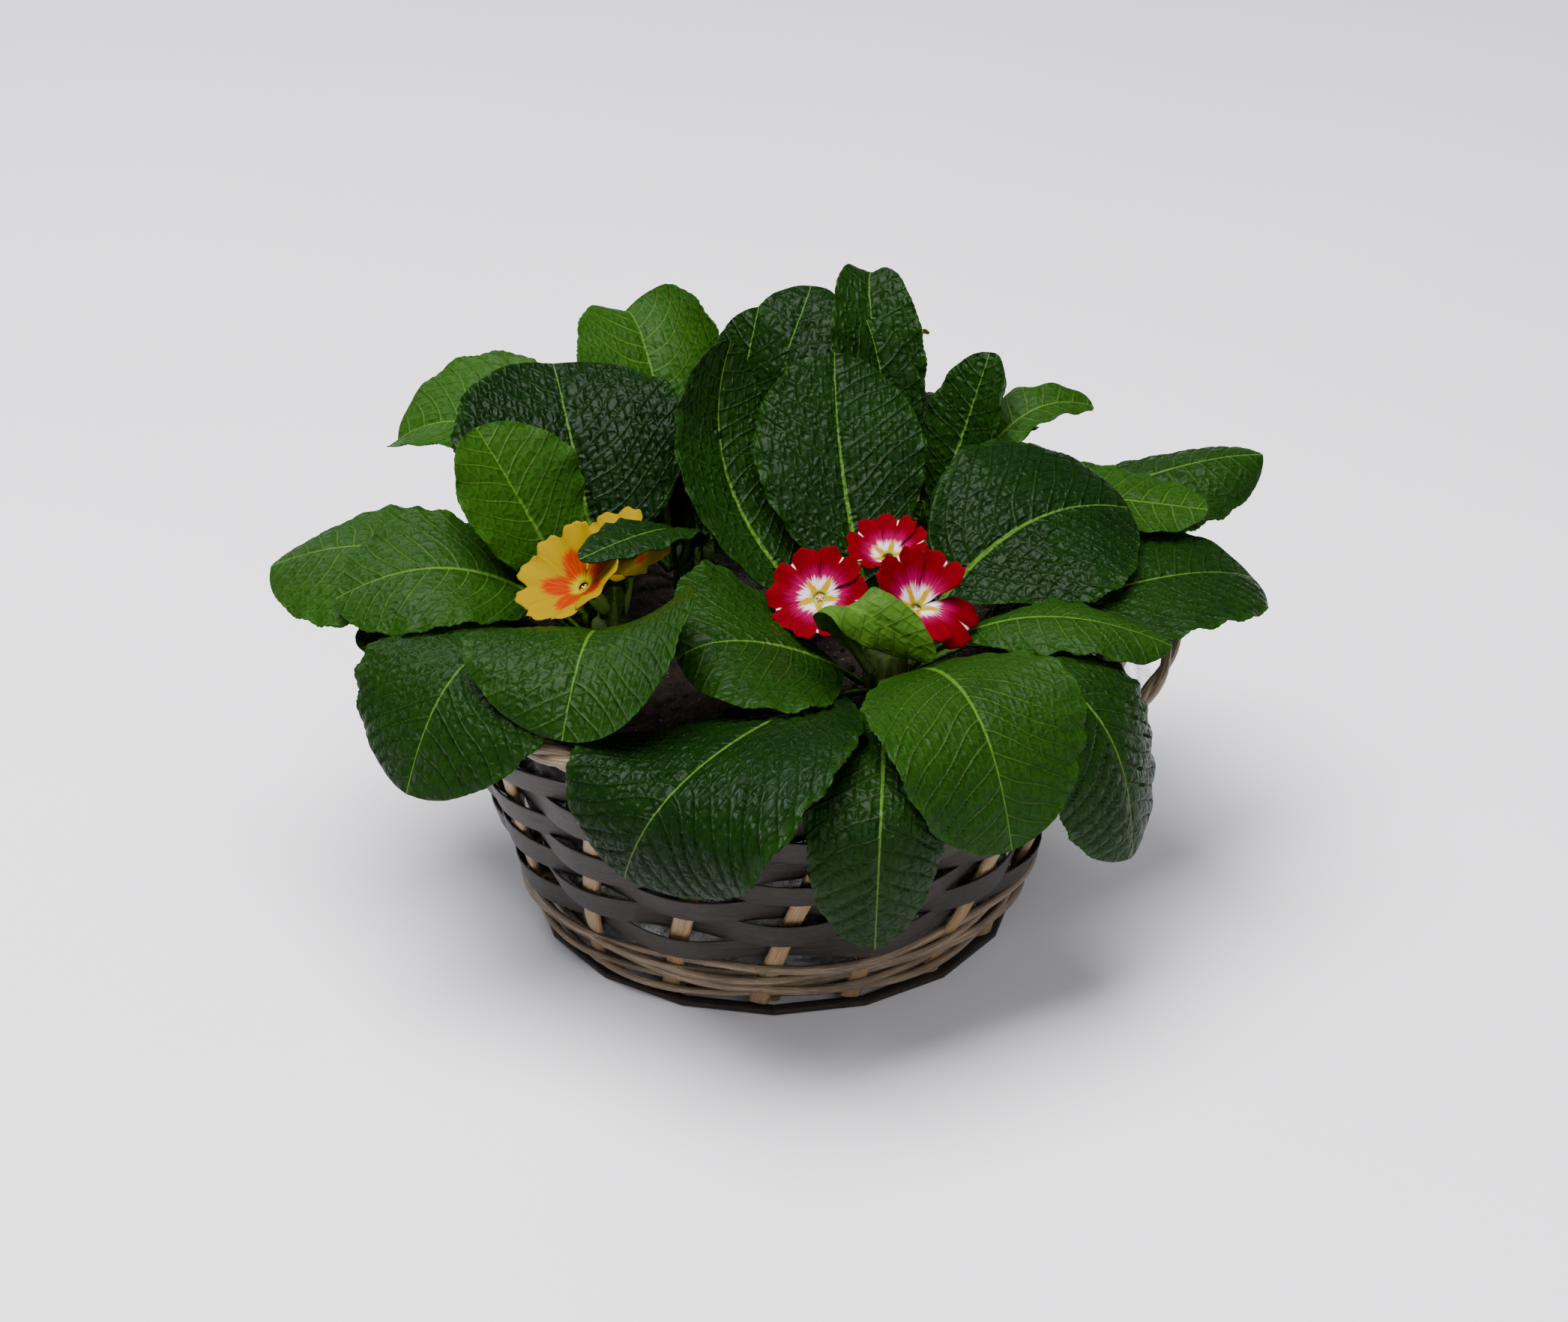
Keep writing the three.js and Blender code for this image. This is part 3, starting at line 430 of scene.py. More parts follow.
# %% [markdown]
# The midrib is a cubic curve through the leaf's foot, middle and tip. The blade is laid out
# across it on an arc on each side, then the margin is waved and toothed. Quilting lifts the skin
# between the veins. The lower skin follows the upper one, with the ribs standing out below.


# %% The shape of a leaf
def polar(turn, radius, height):
    """A point by compass turn from the front, distance from the axis and height."""
    return np.array([radius * math.sin(turn), -radius * math.cos(turn), height])


def unit(vectors):
    return vectors / np.linalg.norm(vectors, axis=-1, keepdims=True)


def smooth_step(value, low, high):
    share = np.clip((value - low) / (high - low), 0, 1)
    return share * share * (3 - 2 * share)


def midrib(leaf, start, stations):
    """Points, directions and length of the midrib at shares of its length."""
    turn = math.radians(leaf["turn"])
    out, right = polar(turn, 1, 0), np.array([math.cos(turn), math.sin(turn), 0])
    centre = np.array([*CROWNS[leaf["plant"]], 0])

    def at(reach, height, sway):
        return centre + (0, 0, height) + out * reach + right * sway

    middle, tip = at(*leaf["mid"]), at(*leaf["tip"])
    base = at(start, CROWN["level"] + leaf["tier"], 0)
    base = base + out * unit(middle - base)[2]
    bend = 2 * middle - base / 2 - tip / 2
    first = base + (bend - base) * leaf.get("ease", 2 / 3)
    second = (8 * middle - base - tip) / 3 - first
    t = np.linspace(0, 1, 401)[:, None]
    curve = (1 - t) ** 3 * base + 3 * (1 - t) ** 2 * t * first + 3 * (1 - t) * t * t * second + t ** 3 * tip
    steps = np.linalg.norm(np.diff(curve, axis=0), axis=1)
    length = np.concatenate([[0], np.cumsum(steps)])
    share = np.interp(stations * length[-1], length, t[:, 0])[:, None]
    points = ((1 - share) ** 3 * base + 3 * (1 - share) ** 2 * share * first
              + 3 * (1 - share) * share ** 2 * second + share ** 3 * tip)
    along = unit((1 - share) ** 2 * (first - base) + 2 * (1 - share) * share * (second - first)
                 + share ** 2 * (tip - second))
    return points, along, length[-1]


def blade_frame(leaf, along, lay_in):
    """The side and the normal of the blade along its midrib."""
    lay = math.radians(leaf.get("lay", leaf["turn"]))
    across = np.array([math.cos(lay), math.sin(lay), 0])
    side = unit(across - along * (along @ across)[:, None])
    roll = math.radians(leaf["roll"]) * lay_in[:, None]
    side = side * np.cos(roll) + np.cross(along, side) * np.sin(roll)
    return side, np.cross(along, side)


print("length of the first midrib:", round(midrib(LEAVES[0], CROWN["radius"], np.array([0.0, 1.0]))[2]), "mm")

# %% The outline and the veins
STALK_SHARE = 0.16
STALK_HALF = 2.1
VEIN_STEP = 7.6
CROWDING = 0.8
RUFFLE = 0.9
SKIN_HALF = 0.22
RIB_DEPTH = 2.0
SIDE_DEPTH = 0.3


def outline(s):
    u = np.clip((s - STALK_SHARE) / (1 - STALK_SHARE), 0, 1)
    return np.sin(np.pi * u ** 1.3).clip(0) ** (0.72 - 0.24 * smooth_step(s, 0.5, 0.9))


def teeth(y, seed):
    """Small rounded teeth of uneven size along the margin, as a share of the width."""
    wander = y / 2.7 + 0.35 * np.sin(y * 0.21 + seed) + 0.2 * np.sin(y * 0.53 + 2 * seed)
    saw = np.abs(wander - np.floor(wander) - 0.5) * 2
    return 1 - 0.022 * saw ** 2 - 0.014 * np.sin(y * 0.37 + seed * 3)


def vein_numbers(x, y, sign, seed, length):
    """How far on a place x out and y along is, in side veins, then in cross links between them."""
    wobble = 0.16 * np.sin(0.13 * x + 0.07 * y + seed) + 0.1 * np.sin(0.29 * x - 0.11 * y + 2 * seed)
    step = VEIN_STEP * (0.75 + 0.25 * min(1.0, length / 110))
    base = (y - 0.5 * x - 0.0075 * x * x) / step + wobble
    vein = base + 0.5 * (sign > 0)
    link = x / LINK_STEP + LINK_SHIFT * np.floor(vein)
    return base, vein, link


def pillows(vein, link):
    near_vein = np.abs(vein - np.floor(vein) - 0.5) * 2
    near_link = np.abs(link - np.floor(link) - 0.5) * 2
    return (1 - near_vein ** 4) * (1 - 0.45 * near_link ** 4)


print("outline at five places:", outline(np.linspace(0, 1, 5)).round(2))

# %% Meshes
def stack(front, back):
    """Faces of a closed blade between two grids of points with the same rows and columns."""
    rows, columns = front.shape[:2]
    number = np.arange(rows * columns).reshape(rows, columns)
    a, b, c, d = number[:-1, :-1], number[:-1, 1:], number[1:, 1:], number[1:, :-1]
    upper = np.stack([a, b, c, d], -1).reshape(-1, 4)
    shift = rows * columns
    lower = upper[:, ::-1] + shift
    ring = np.concatenate([number[0, :], number[1:, -1], number[-1, -2::-1], number[-2:0:-1, 0]])
    after = np.roll(ring, -1)
    edge = np.stack([after, ring, ring + shift, after + shift], -1)
    points = np.concatenate([front.reshape(-1, 3), back.reshape(-1, 3)])
    return points, upper, lower, edge


def on_both(values):
    """Three numbers for each point of a grid, given to its front and to its back."""
    return np.concatenate([values.reshape(-1, 3)] * 2)


def piece(name, points, faces, materials, slots=None, numbers=None, smooth=True):
    """A mesh object from millimetre points, with its materials and the numbers it carries."""
    mesh = bpy.data.meshes.new(name)
    mesh.from_pydata((np.asarray(points) * MM).tolist(), [], [list(face) for face in faces])
    for material in materials:
        mesh.materials.append(material)
    if slots is not None:
        mesh.polygons.foreach_set("material_index", np.asarray(slots, np.int32))
    mesh.polygons.foreach_set("use_smooth", np.full(len(mesh.polygons), smooth))
    for key, values in (numbers or {}).items():
        layer = mesh.attributes.new(key, "FLOAT_VECTOR", "POINT")
        layer.data.foreach_set("vector", np.asarray(values, np.float32).ravel())
    mesh.update()
    made = bpy.data.objects.new(name, mesh)
    bpy.context.collection.objects.link(made)
    return made


def hand_over(made, node):
    """Joins a piece to the frame: it rides on the body and stands for a node, which it hides."""
    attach(made, "root")
    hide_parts(node)
    return len(made.data.polygons)


print("meshes can be made and joined to the frame")


# %% The grid of a leaf, and all the leaves
def leaf_grid(leaf, start, row_step=1.04, column_step=1.42):
    """The grids of a leaf's upper and lower skin, and the numbers that its materials read."""
    seed = (sum(ord(letter) for letter in leaf["name"]) % 97) * 0.37
    length = midrib(leaf, start, np.array([0.0, 1.0]))[2]
    rows = max(12, round(length / row_step))
    columns = 2 * max(6, round(leaf["width"] / column_step / 2)) + 1
    s = 1 - (1 - np.linspace(0, 1, rows)) ** 1.2
    rib, along, length = midrib(leaf, start, s)
    lay_in = smooth_step(s, 0.05, 0.45)
    side, normal = blade_frame(leaf, along, lay_in)
    a = np.sin(np.linspace(-1, 1, columns) * math.pi / 2 * CROWDING) / math.sin(math.pi / 2 * CROWDING)
    sign, apart = np.sign(a)[None, :], np.abs(a)[None, :]
    share = outline(s)[:, None]
    y = (s * length)[:, None]
    reach = STALK_HALF * (1 - s[:, None] ** 8) + (leaf["width"] / 2 - STALK_HALF) * share
    reach = reach * (1 + (teeth(y, seed + sign) - 1) * np.minimum(1, 2 * share)) + 0.15
    curl = np.radians(np.where(sign < 0, leaf["curl"][0], leaf["curl"][1])) * lay_in[:, None]
    curl = np.where(np.abs(curl) < 1e-3, 1e-3, curl)
    vee = math.radians(leaf["vee"]) * lay_in[:, None]
    bow = reach / curl
    angle = vee + curl * apart
    across = bow * (np.sin(angle) - np.sin(vee))
    lift = bow * (np.cos(vee) - np.cos(angle))
    lift = lift + leaf["wave"] * share * apart ** 2 * np.sin(4 * math.pi * s[:, None] + sign)
    lift = lift + RUFFLE * share * apart ** 6 * np.sin(y * 0.5 + 2.1 * sign + seed)
    x = apart * reach
    base, vein, link = vein_numbers(x, y, sign, seed, length)
    fade = share * (1 - apart ** 8) * smooth_step(x, 0.5, 4)
    lift = lift + (2.1 - 1.1 * leaf["tone"]) * (pillows(vein, link) - 0.5) * fade
    lift = lift - 0.5 * np.exp(-(x / 1.5) ** 2) * share
    out = np.cos(angle)[..., None] * normal[:, None] - (sign * np.sin(angle))[..., None] * side[:, None]
    middle = rib[:, None] + (sign * across)[..., None] * side[:, None] + lift[..., None] * normal[:, None]
    rib_depth = (RIB_DEPTH * (1 - 0.75 * s[:, None])) * np.exp(-(x / 1.7) ** 2)
    side_depth = SIDE_DEPTH * fade * (1 - pillows(vein, link))
    front = middle + SKIN_HALF * out
    back = middle - (SKIN_HALF + rib_depth + side_depth)[..., None] * out
    blade = np.stack(np.broadcast_arrays(s[:, None], a[None, :], leaf["tone"]), -1)
    veins = np.stack(np.broadcast_arrays(base, x * sign, y), -1)
    return front, back, blade, veins


def leaf_piece(leaf, start=CROWN["radius"] + CLEARANCE):
    front, back, blade, veins = leaf_grid(leaf, start)
    points, upper, lower, edge = stack(front, back)
    slots = np.concatenate([np.zeros(len(upper)), np.ones(len(lower)), np.zeros(len(edge))])
    return piece("blade_" + leaf["name"], points, np.concatenate([upper, lower, edge]),
                 [leaf_face, leaf_back], slots, {"blade": on_both(blade), "veins": on_both(veins)})


leaf_faces = [hand_over(leaf_piece(row), "leaf_" + row["name"]) for row in LEAVES]
print("leaf faces:", sum(leaf_faces))

# %% [markdown]
# ## Petals
# Both kinds of bloom have five notched petals round a narrow tube. Fine rays run out along each
# petal. On the yellow kind orange flames lick out from the eye; on the crimson kind the eye is
# yellow, with an uneven white halo round it and thin white marks at the notches. The rays and
# the uneven edges are one node group that both petal materials use.

# %% Rays and uneven edges of the petals
ray_tree, given, taken = group_tree(
    "petal rays", "ShaderNodeTree",
    [("Petal", "NodeSocketVector"), ("Unevenness", "NodeSocketFloat", 0.1)],
    [("Reach", "NodeSocketFloat"), ("Aside", "NodeSocketFloat"), ("Rays", "NodeSocketFloat"),
     ("Number", "NodeSocketFloat")])
out_share, aside, number = ray_tree.split(given.outputs["Petal"])
fan = ray_tree.joined(ray_tree.times(aside, 9.0), ray_tree.times(out_share, 1.6), number)
rays = ray_tree.noise(fan, 1.3, 4.0, 0.6)
stray = ray_tree.times(ray_tree.less(rays, 0.5), given.outputs["Unevenness"])
ray_tree.give(taken, {"Reach": ray_tree.plus(out_share, stray), "Aside": ray_tree.size(aside),
                      "Rays": rays, "Number": number})
print("petal group has", len(ray_tree.data.nodes), "nodes")


# %% Yellow petals
tree, shader, yellow_petal = finish("petal_yellow", Roughness=0.6, Specular_IOR_Level=0.02)
parts = tree.use(ray_tree, {"Petal": tree.attribute("petal"), "Unevenness": 0.35})
reach, aside = parts["Reach"], parts["Aside"]
colour = tree.blend(tree.ramp(reach, 0.3, 1.0), srgb(124, 98, 0), srgb(124, 102, 0))
tongue = tree.less(0.74, tree.times(aside, 0.42))
flame = tree.times(tree.ramp(reach, 0.1, 0.2), tree.ramp(tree.less(reach, tongue), -0.14, 0.02, 1.0, 0.0))
flame = tree.times(flame, tree.ramp(parts["Rays"], 0.3, 0.5, 0.45, 1.0))
colour = tree.blend(flame, colour, srgb(134, 30, 0))
colour = tree.blend(tree.ramp(reach, 0.05, 0.14, 1.0, 0.0), colour, srgb(150, 140, 14))
tree.dress(shader, colour)
tree.relief(shader, parts["Rays"], 0.0004, 0.6)
print("made", yellow_petal.name)

# %% Crimson petals
tree, shader, crimson_petal = finish("petal_crimson", Roughness=0.6, Specular_IOR_Level=0.01)
parts = tree.use(ray_tree, {"Petal": tree.attribute("petal"), "Unevenness": 0.5})
reach, aside = parts["Reach"], parts["Aside"]
edge = tree.blend(parts["Rays"], srgb(80, 0, 6), srgb(98, 0, 16))
colour = tree.blend(tree.ramp(reach, 0.32, 0.68), srgb(124, 0, 60), edge)
colour = tree.blend(tree.ramp(reach, 0.22, 0.38, 1.0, 0.0), colour, srgb(204, 184, 194))
star = tree.plus(tree.less(reach, 0.37), tree.times(aside, 0.45))
colour = tree.blend(tree.ramp(star, -0.04, 0.04, 1.0, 0.0), colour, srgb(150, 116, 4))
colour = tree.blend(tree.ramp(reach, 0.06, 0.12, 1.0, 0.0), colour, srgb(130, 130, 20))
notch = tree.times(tree.ramp(aside, 0.01, 0.045, 1.0, 0.0), tree.ramp(reach, 0.82, 0.92))
colour = tree.blend(tree.times(notch, 0.8), colour, srgb(250, 226, 232))
tree.dress(shader, colour)
tree.relief(shader, parts["Rays"], 0.0004, 0.6)
print("made", crimson_petal.name)

# %% Green skin of stalks and cups, and the anthers in the eye
tree, shader, green_skin = finish("stalk_skin", Specular_IOR_Level=0.15)
place = tree.place()
mottle = tree.noise(place, 160.0)
colour = tree.blend(mottle, srgb(64, 94, 26), srgb(110, 136, 54))
tree.dress(shader, colour, tree.ramp(mottle, 0.2, 0.8, 0.5, 0.7))
tree.relief(shader, tree.noise(place, 1400.0), 0.0002)
tree, shader, anther_skin = finish("anthers")
grains = tree.noise(tree.place(), 1500.0)
colour = tree.blend(grains, srgb(196, 150, 48), srgb(226, 190, 86))
tree.dress(shader, colour, tree.ramp(grains, 0.2, 0.8, 0.6, 0.85))
tree.relief(shader, grains, 0.0003)
print("made", green_skin.name, anther_skin.name)

# %% [markdown]
# ## Blooms
# Each petal is a closed blade on a fan of points: narrow at the throat, broad outside, with a
# notch in its rim and one edge tucked under its neighbour, as the petals of a primrose lie.

# %% The table of blooms
BLOOMS = [
    dict(name="yellow_main", plant="yellow", colour="yellow", eye=(-70.6, -32, 148.5), turn=-57, tilt=36,
         radius=26, spin=8, cup=28, droop=(22, 0, 0, 0, 0), stalk=(-63, -20, 130)),
    dict(name="yellow_second", plant="yellow", colour="yellow", eye=(-57.5, 2, 147), turn=-20, tilt=26,
         radius=18, spin=-25, cup=13, droop=(0, 27, 0, 0, 0), stalk=(-57, -1, 125)),
    dict(name="crimson_left", plant="crimson", colour="crimson", eye=(17, -29.5, 143), turn=-22, tilt=38,
         radius=20, spin=18, cup=16, droop=(0, 0, 0, 0, 0), stalk=(27.6, -20.2, 125.6)),
    dict(name="crimson_middle", plant="crimson", colour="crimson", eye=(43, -13, 151), turn=-20, tilt=15,
         radius=18, spin=0, cup=30, droop=(0, 0, 0, 0, 0), stalk=(43.6, -14.4, 127)),
    dict(name="crimson_right", plant="crimson", colour="crimson", eye=(52.5, -40, 143.5), turn=25, tilt=22,
         radius=24, spin=-12, cup=42, droop=(0, 0, 42, 22, 0), stalk=(47, -33, 126)),
    dict(name="back_orange", plant="right", colour="yellow", eye=(43, 124, 186), turn=150, tilt=30,
         radius=20, spin=10, cup=10, droop=(0, 0, 0, 0, 0), stalk=(58, 92, 160)),
]
THROAT = 2.2
TUBE = 1.7
TUBE_LENGTH = 13
print("blooms:", len(BLOOMS))


# %% Petals
def bloom_frame(bloom):
    turn, tilt = math.radians(bloom["turn"]), math.radians(bloom["tilt"])
    axis = polar(turn, math.sin(tilt), math.cos(tilt))
    right = np.array([math.cos(turn), math.sin(turn), 0])
    return np.array(bloom["eye"], float), axis, right, np.cross(axis, right)


def on_bloom(bloom, angle, radius, height):
    """Places round a bloom's axis, by angle, radius and height along the axis."""
    eye, axis, right, top = bloom_frame(bloom)
    angle, radius, height = (np.asarray(v, float)[..., None] for v in (angle, radius, height))
    return eye + axis * height + right * radius * np.sin(angle) + top * radius * np.cos(angle)


def petal(bloom, number, rows=22, columns=25):
    """Points, faces and numbers of one petal: share out, share aside and its own number."""
    s = np.linspace(0, 1, rows)[:, None]
    a = np.linspace(-1, 1, columns)[None, :]
    half = np.radians(36 + 6.5 * smooth_step(s, 0.2, 0.8) - 3 * s ** 6)
    centre = math.radians(bloom["spin"] + 72 * number)
    angle = centre + a * half
    scallop = 1 + 0.022 * np.cos(5.5 * math.pi * a + number) * s ** 3
    rim = (1 - 0.15 * np.exp(-(a / 0.15) ** 2) - 0.2 * np.abs(a) ** 5) * scallop
    reach = THROAT + (bloom["radius"] - THROAT) * s * (1 + (rim - 1) * s)
    rise = np.radians(bloom["cup"] - bloom["droop"][number] * s)
    tuck = 0.55 * a * smooth_step(s, 0.1, 0.5)
    ruffle = 0.7 * s ** 3 * np.sin(2.6 * math.pi * a + 1.3 * number + bloom["spin"])
    crease = -0.6 * np.exp(-(a / 0.2) ** 2) * s * (1 - 0.3 * s)
    radius, height = reach * np.cos(rise), reach * np.sin(rise) + tuck + ruffle + crease
    front = on_bloom(bloom, angle, radius, height)
    back = on_bloom(bloom, angle, radius + 0.12 * np.sin(rise), height - 0.34 * np.cos(rise))
    numbers = np.stack(np.broadcast_arrays(s, a, number + bloom["spin"]), -1)
    points, upper, lower, edge = stack(front, back)
    return points, np.concatenate([upper, lower, edge]), on_both(numbers)


print("points of a petal:", len(petal(BLOOMS[0], 0)[0]))


# %% Closed bodies from rings
def lathe(profile, sides):
    """The turn of each side, and the radius and height of each ring, ready for a grid of points."""
    turn = np.linspace(0, 2 * math.pi, sides, endpoint=False)[None, :]
    radius, height = (np.array(values, float)[:, None] for values in zip(*profile))
    return turn, radius, height


def around(grid):
    """Points and faces of a closed body from rings of points, with its two ends filled."""
    rows, sides = grid.shape[:2]
    number = np.arange(rows * sides).reshape(rows, sides)
    after = np.roll(number, -1, axis=1)
    walls = np.stack([number[:-1], after[:-1], after[1:], number[1:]], -1).reshape(-1, 4)
    return grid.reshape(-1, 3), [*map(tuple, walls), tuple(number[0][::-1]), tuple(number[-1])]


def turned_on(bloom, profile, sides=20):
    """A closed body turned round the bloom's axis, from radius and height."""
    turn, radius, height = lathe(profile, sides)
    return around(on_bloom(bloom, turn, radius + 0 * turn, height + 0 * turn))


print("rings can be made into bodies")


# %% Whole blooms, with throat and anthers
def gather(parts):
    """Several lists of points, faces and numbers as one, with each part's slot."""
    points, faces, slots, numbers, start = [], [], [], [], 0
    for part_points, part_faces, slot, part_numbers in parts:
        points.append(part_points)
        faces.extend(tuple(int(i) + start for i in face) for face in part_faces)
        slots.extend([slot] * len(part_faces))
        numbers.append(np.broadcast_to(part_numbers, (len(part_points), 3)))
        start += len(part_points)
    return np.concatenate(points), faces, slots, np.concatenate(numbers)


TUBE_PROFILE = [(TUBE * 0.8, -TUBE_LENGTH), (TUBE, -3), (THROAT, -0.9), (THROAT + 0.5, 0.1),
                (THROAT - 0.3, -0.3), (0.9, -0.9)]
STIGMA_PROFILE = [(0.5, -1.2), (0.62, -0.2), (0.8, 0.25), (0.3, 0.6)]
ANTHER_PROFILE = [(0.14, -0.9), (0.42, -0.4), (0.42, 0.2), (0.14, 0.5)]
ANTHER_REACH = 1.25
TUBE_NUMBERS = (0.12, 0.5, 0)
PETAL_SLOT, ANTHER_SLOT = 0, 1


def bloom_piece(bloom):
    parts = []
    for number in range(5):
        points, faces, numbers = petal(bloom, number)
        parts.append((points, faces, PETAL_SLOT, numbers))
    parts.append((*turned_on(bloom, TUBE_PROFILE), PETAL_SLOT, TUBE_NUMBERS))
    parts.append((*turned_on(bloom, STIGMA_PROFILE, 10), ANTHER_SLOT, 0))
    for spoke in range(5):
        between = math.radians(bloom["spin"] + 36 + 72 * spoke)
        shift = on_bloom(bloom, between, ANTHER_REACH, 0.1) - np.array(bloom["eye"])
        points, faces = turned_on(bloom, ANTHER_PROFILE, 8)
        parts.append((points + shift, faces, ANTHER_SLOT, 0))
    points, faces, slots, numbers = gather(parts)
    skin = yellow_petal if bloom["colour"] == "yellow" else crimson_petal
    return piece("petals_" + bloom["name"], points, faces, [skin, anther_skin], slots, {"petal": numbers})


bloom_faces = [hand_over(bloom_piece(row), "bloom_" + row["name"])
               for row in BLOOMS]
print("bloom faces:", sum(bloom_faces))

# %% [markdown]
# ## A sweep for everything that is bent from a rod or a strip
# Stakes, strips, rods, the border, the handles and the flower stalks are all one section led
# along a path. A Geometry Nodes tree does that: it turns a chain of points into a curve, gives
# it the way that its flat side faces, sweeps a section whose corners can be round or square, and
# stores how far along and where across each point lies, so that the fibres follow the strand.

# %% The sweep tree
sweep_tree, given, taken = group_tree(
    "sweep along a path", "GeometryNodeTree",
    [("Geometry", "NodeSocketGeometry"), ("Width", "NodeSocketFloat", 0.004),
     ("Thickness", "NodeSocketFloat", 0.004), ("Squareness", "NodeSocketFloat", 1.0),
     ("Sides", "NodeSocketInt", 10), ("Material", "NodeSocketMaterial")],
    [("Geometry", "NodeSocketGeometry")])


def store(geometry, name, value, kind="FLOAT"):
    feeds = {"Geometry": geometry, "Name": name}
    made = sweep_tree.put("GeometryNodeStoreNamedAttribute", feeds, data_type=kind)
    sweep_tree.link(value, made.inputs["Value"])
    return made.outputs[0]


def named(name, kind):
    return sweep_tree.put("GeometryNodeInputNamedAttribute", {"Name": name}, data_type=kind).outputs[0]


def squared(value, size):
    """The same way as value, pressed toward a square corner and scaled to half of size."""
    power = sweep_tree.maths("POWER", sweep_tree.size(value), given.outputs["Squareness"])
    signed = sweep_tree.times(power, sweep_tree.maths("SIGN", value))
    return sweep_tree.times(signed, sweep_tree.times(size, 0.5))


def plain_mesh(tree, given, taken, geometry):
    """The end of a tree: its instances made real, and the material set."""
    solid = tree.put("GeometryNodeRealizeInstances", {"Geometry": geometry}).outputs[0]
    feeds = {"Geometry": solid, "Material": given.outputs["Material"]}
    tree.link(tree.put("GeometryNodeSetMaterial", feeds).outputs[0], taken.inputs["Geometry"])


path = sweep_tree.put("GeometryNodeMeshToCurve", {"Mesh": given.outputs["Geometry"]}).outputs[0]
feeds = {"Curve": path, "Normal": named("outward", "FLOAT_VECTOR")}
path = sweep_tree.put("GeometryNodeSetCurveNormal", feeds, mode="FREE").outputs[0]
path = store(path, "along", sweep_tree.put("GeometryNodeSplineParameter").outputs["Length"])
feeds = {"Resolution": given.outputs["Sides"], "Radius": 1.0}
circle = sweep_tree.put("GeometryNodeCurvePrimitiveCircle", feeds).outputs[0]
at = sweep_tree.split(sweep_tree.put("GeometryNodeInputPosition").outputs[0])
thick, wide = given.outputs["Thickness"], given.outputs["Width"]
section = sweep_tree.joined(squared(at[0], thick), squared(at[1], wide))
ring = sweep_tree.put("GeometryNodeSetPosition", {"Geometry": circle, "Position": section}).outputs[0]
ring = store(ring, "section", sweep_tree.put("GeometryNodeInputPosition").outputs[0], "FLOAT_VECTOR")
feeds = {"Curve": path, "Profile Curve": ring, "Scale": named("girth", "FLOAT"), "Fill Caps": True}
plain_mesh(sweep_tree, given, taken, sweep_tree.put("GeometryNodeCurveToMesh", feeds).outputs[0])
print("sweep tree has", len(sweep_tree.data.nodes), "nodes")


# %% Running a tree and keeping its plain mesh
def grown(start, tree, name, **inputs):
    """Runs a Geometry Nodes tree on an object and gives back a new object with the plain result."""
    modifier = start.modifiers.new("grow", "NODES")
    modifier.node_group = tree.data
    for item in tree.data.interface.items_tree:
        key = item.name.replace(" ", "_")
        if item.item_type == "SOCKET" and item.in_out == "INPUT" and key in inputs:
            modifier[item.identifier] = inputs[key]
    start.update_tag()
    bpy.context.view_layer.update()
    ready = start.evaluated_get(bpy.context.evaluated_depsgraph_get())
    mesh = bpy.data.meshes.new_from_object(ready)
    mesh.name = name
    start.modifiers.remove(modifier)
    bpy.data.objects.remove(start)
    mesh.polygons.foreach_set("use_smooth", np.ones(len(mesh.polygons), bool))
    made = bpy.data.objects.new(name, mesh)
    bpy.context.collection.objects.link(made)
    return made


def strands(name, paths, width, thickness, material, squareness=1.0, sides=10, closed=False):
    """Sweeps one section along paths; each is points, the way its flat side faces, and girths."""
    points, facing, girths, edges = [], [], [], []
    for way, outward, girth in paths:
        first, count = sum(len(p) for p in points), len(way)
        edges += [(first + i, first + i + 1) for i in range(count - 1)]
        if closed:
            edges.append((first + count - 1, first))
        points.append(np.asarray(way, float))
        facing.append(unit(np.asarray(outward, float)))
        girths.append(np.broadcast_to(girth, (count,)))
    mesh = bpy.data.meshes.new(name + "_path")
    mesh.from_pydata((np.concatenate(points) * MM).tolist(), edges, [])
    layer = mesh.attributes.new("outward", "FLOAT_VECTOR", "POINT")
    layer.data.foreach_set("vector", np.concatenate(facing).astype(np.float32).ravel())
    layer = mesh.attributes.new("girth", "FLOAT", "POINT")
    layer.data.foreach_set("value", np.concatenate(girths).astype(np.float32))
    start = bpy.data.objects.new(name + "_path", mesh)
    bpy.context.collection.objects.link(start)
    return grown(start, sweep_tree, name, Width=width * MM, Thickness=thickness * MM,
                 Squareness=squareness, Sides=sides, Material=material)


print("strands can be swept")

# %% [markdown]
# ## Willow
# Split willow and chip show long fibres, darker streaks and pale worn specks. One group makes
# the fibres from the numbers that the sweep stores, and three materials use it: pale stakes,
# tan rods and the grey-brown stained strips.

# %% The fibre group
fibre_tree, given, taken = group_tree(
    "willow fibres", "ShaderNodeTree",
    [("Length scale", "NodeSocketFloat", 60.0), ("Fineness", "NodeSocketFloat", 2500.0)],
    [("Fibre", "NodeSocketFloat"), ("Patch", "NodeSocketFloat"), ("Speck", "NodeSocketFloat")])
length = fibre_tree.attribute("along", "Fac")
sections = fibre_tree.split(fibre_tree.attribute("section"))
fine = given.outputs["Fineness"]
line = fibre_tree.joined(fibre_tree.times(sections[0], fine), fibre_tree.times(sections[1], fine),
                         fibre_tree.times(length, given.outputs["Length scale"]))
fibre_tree.give(taken, {"Fibre": fibre_tree.noise(line, 1.0, 5.0, 0.65),
                        "Patch": fibre_tree.noise(fibre_tree.place(), 55.0, 3.0),
                        "Speck": fibre_tree.ramp(fibre_tree.noise(line, 2.3, 2.0), 0.62, 0.72)})
print("fibre group ready")


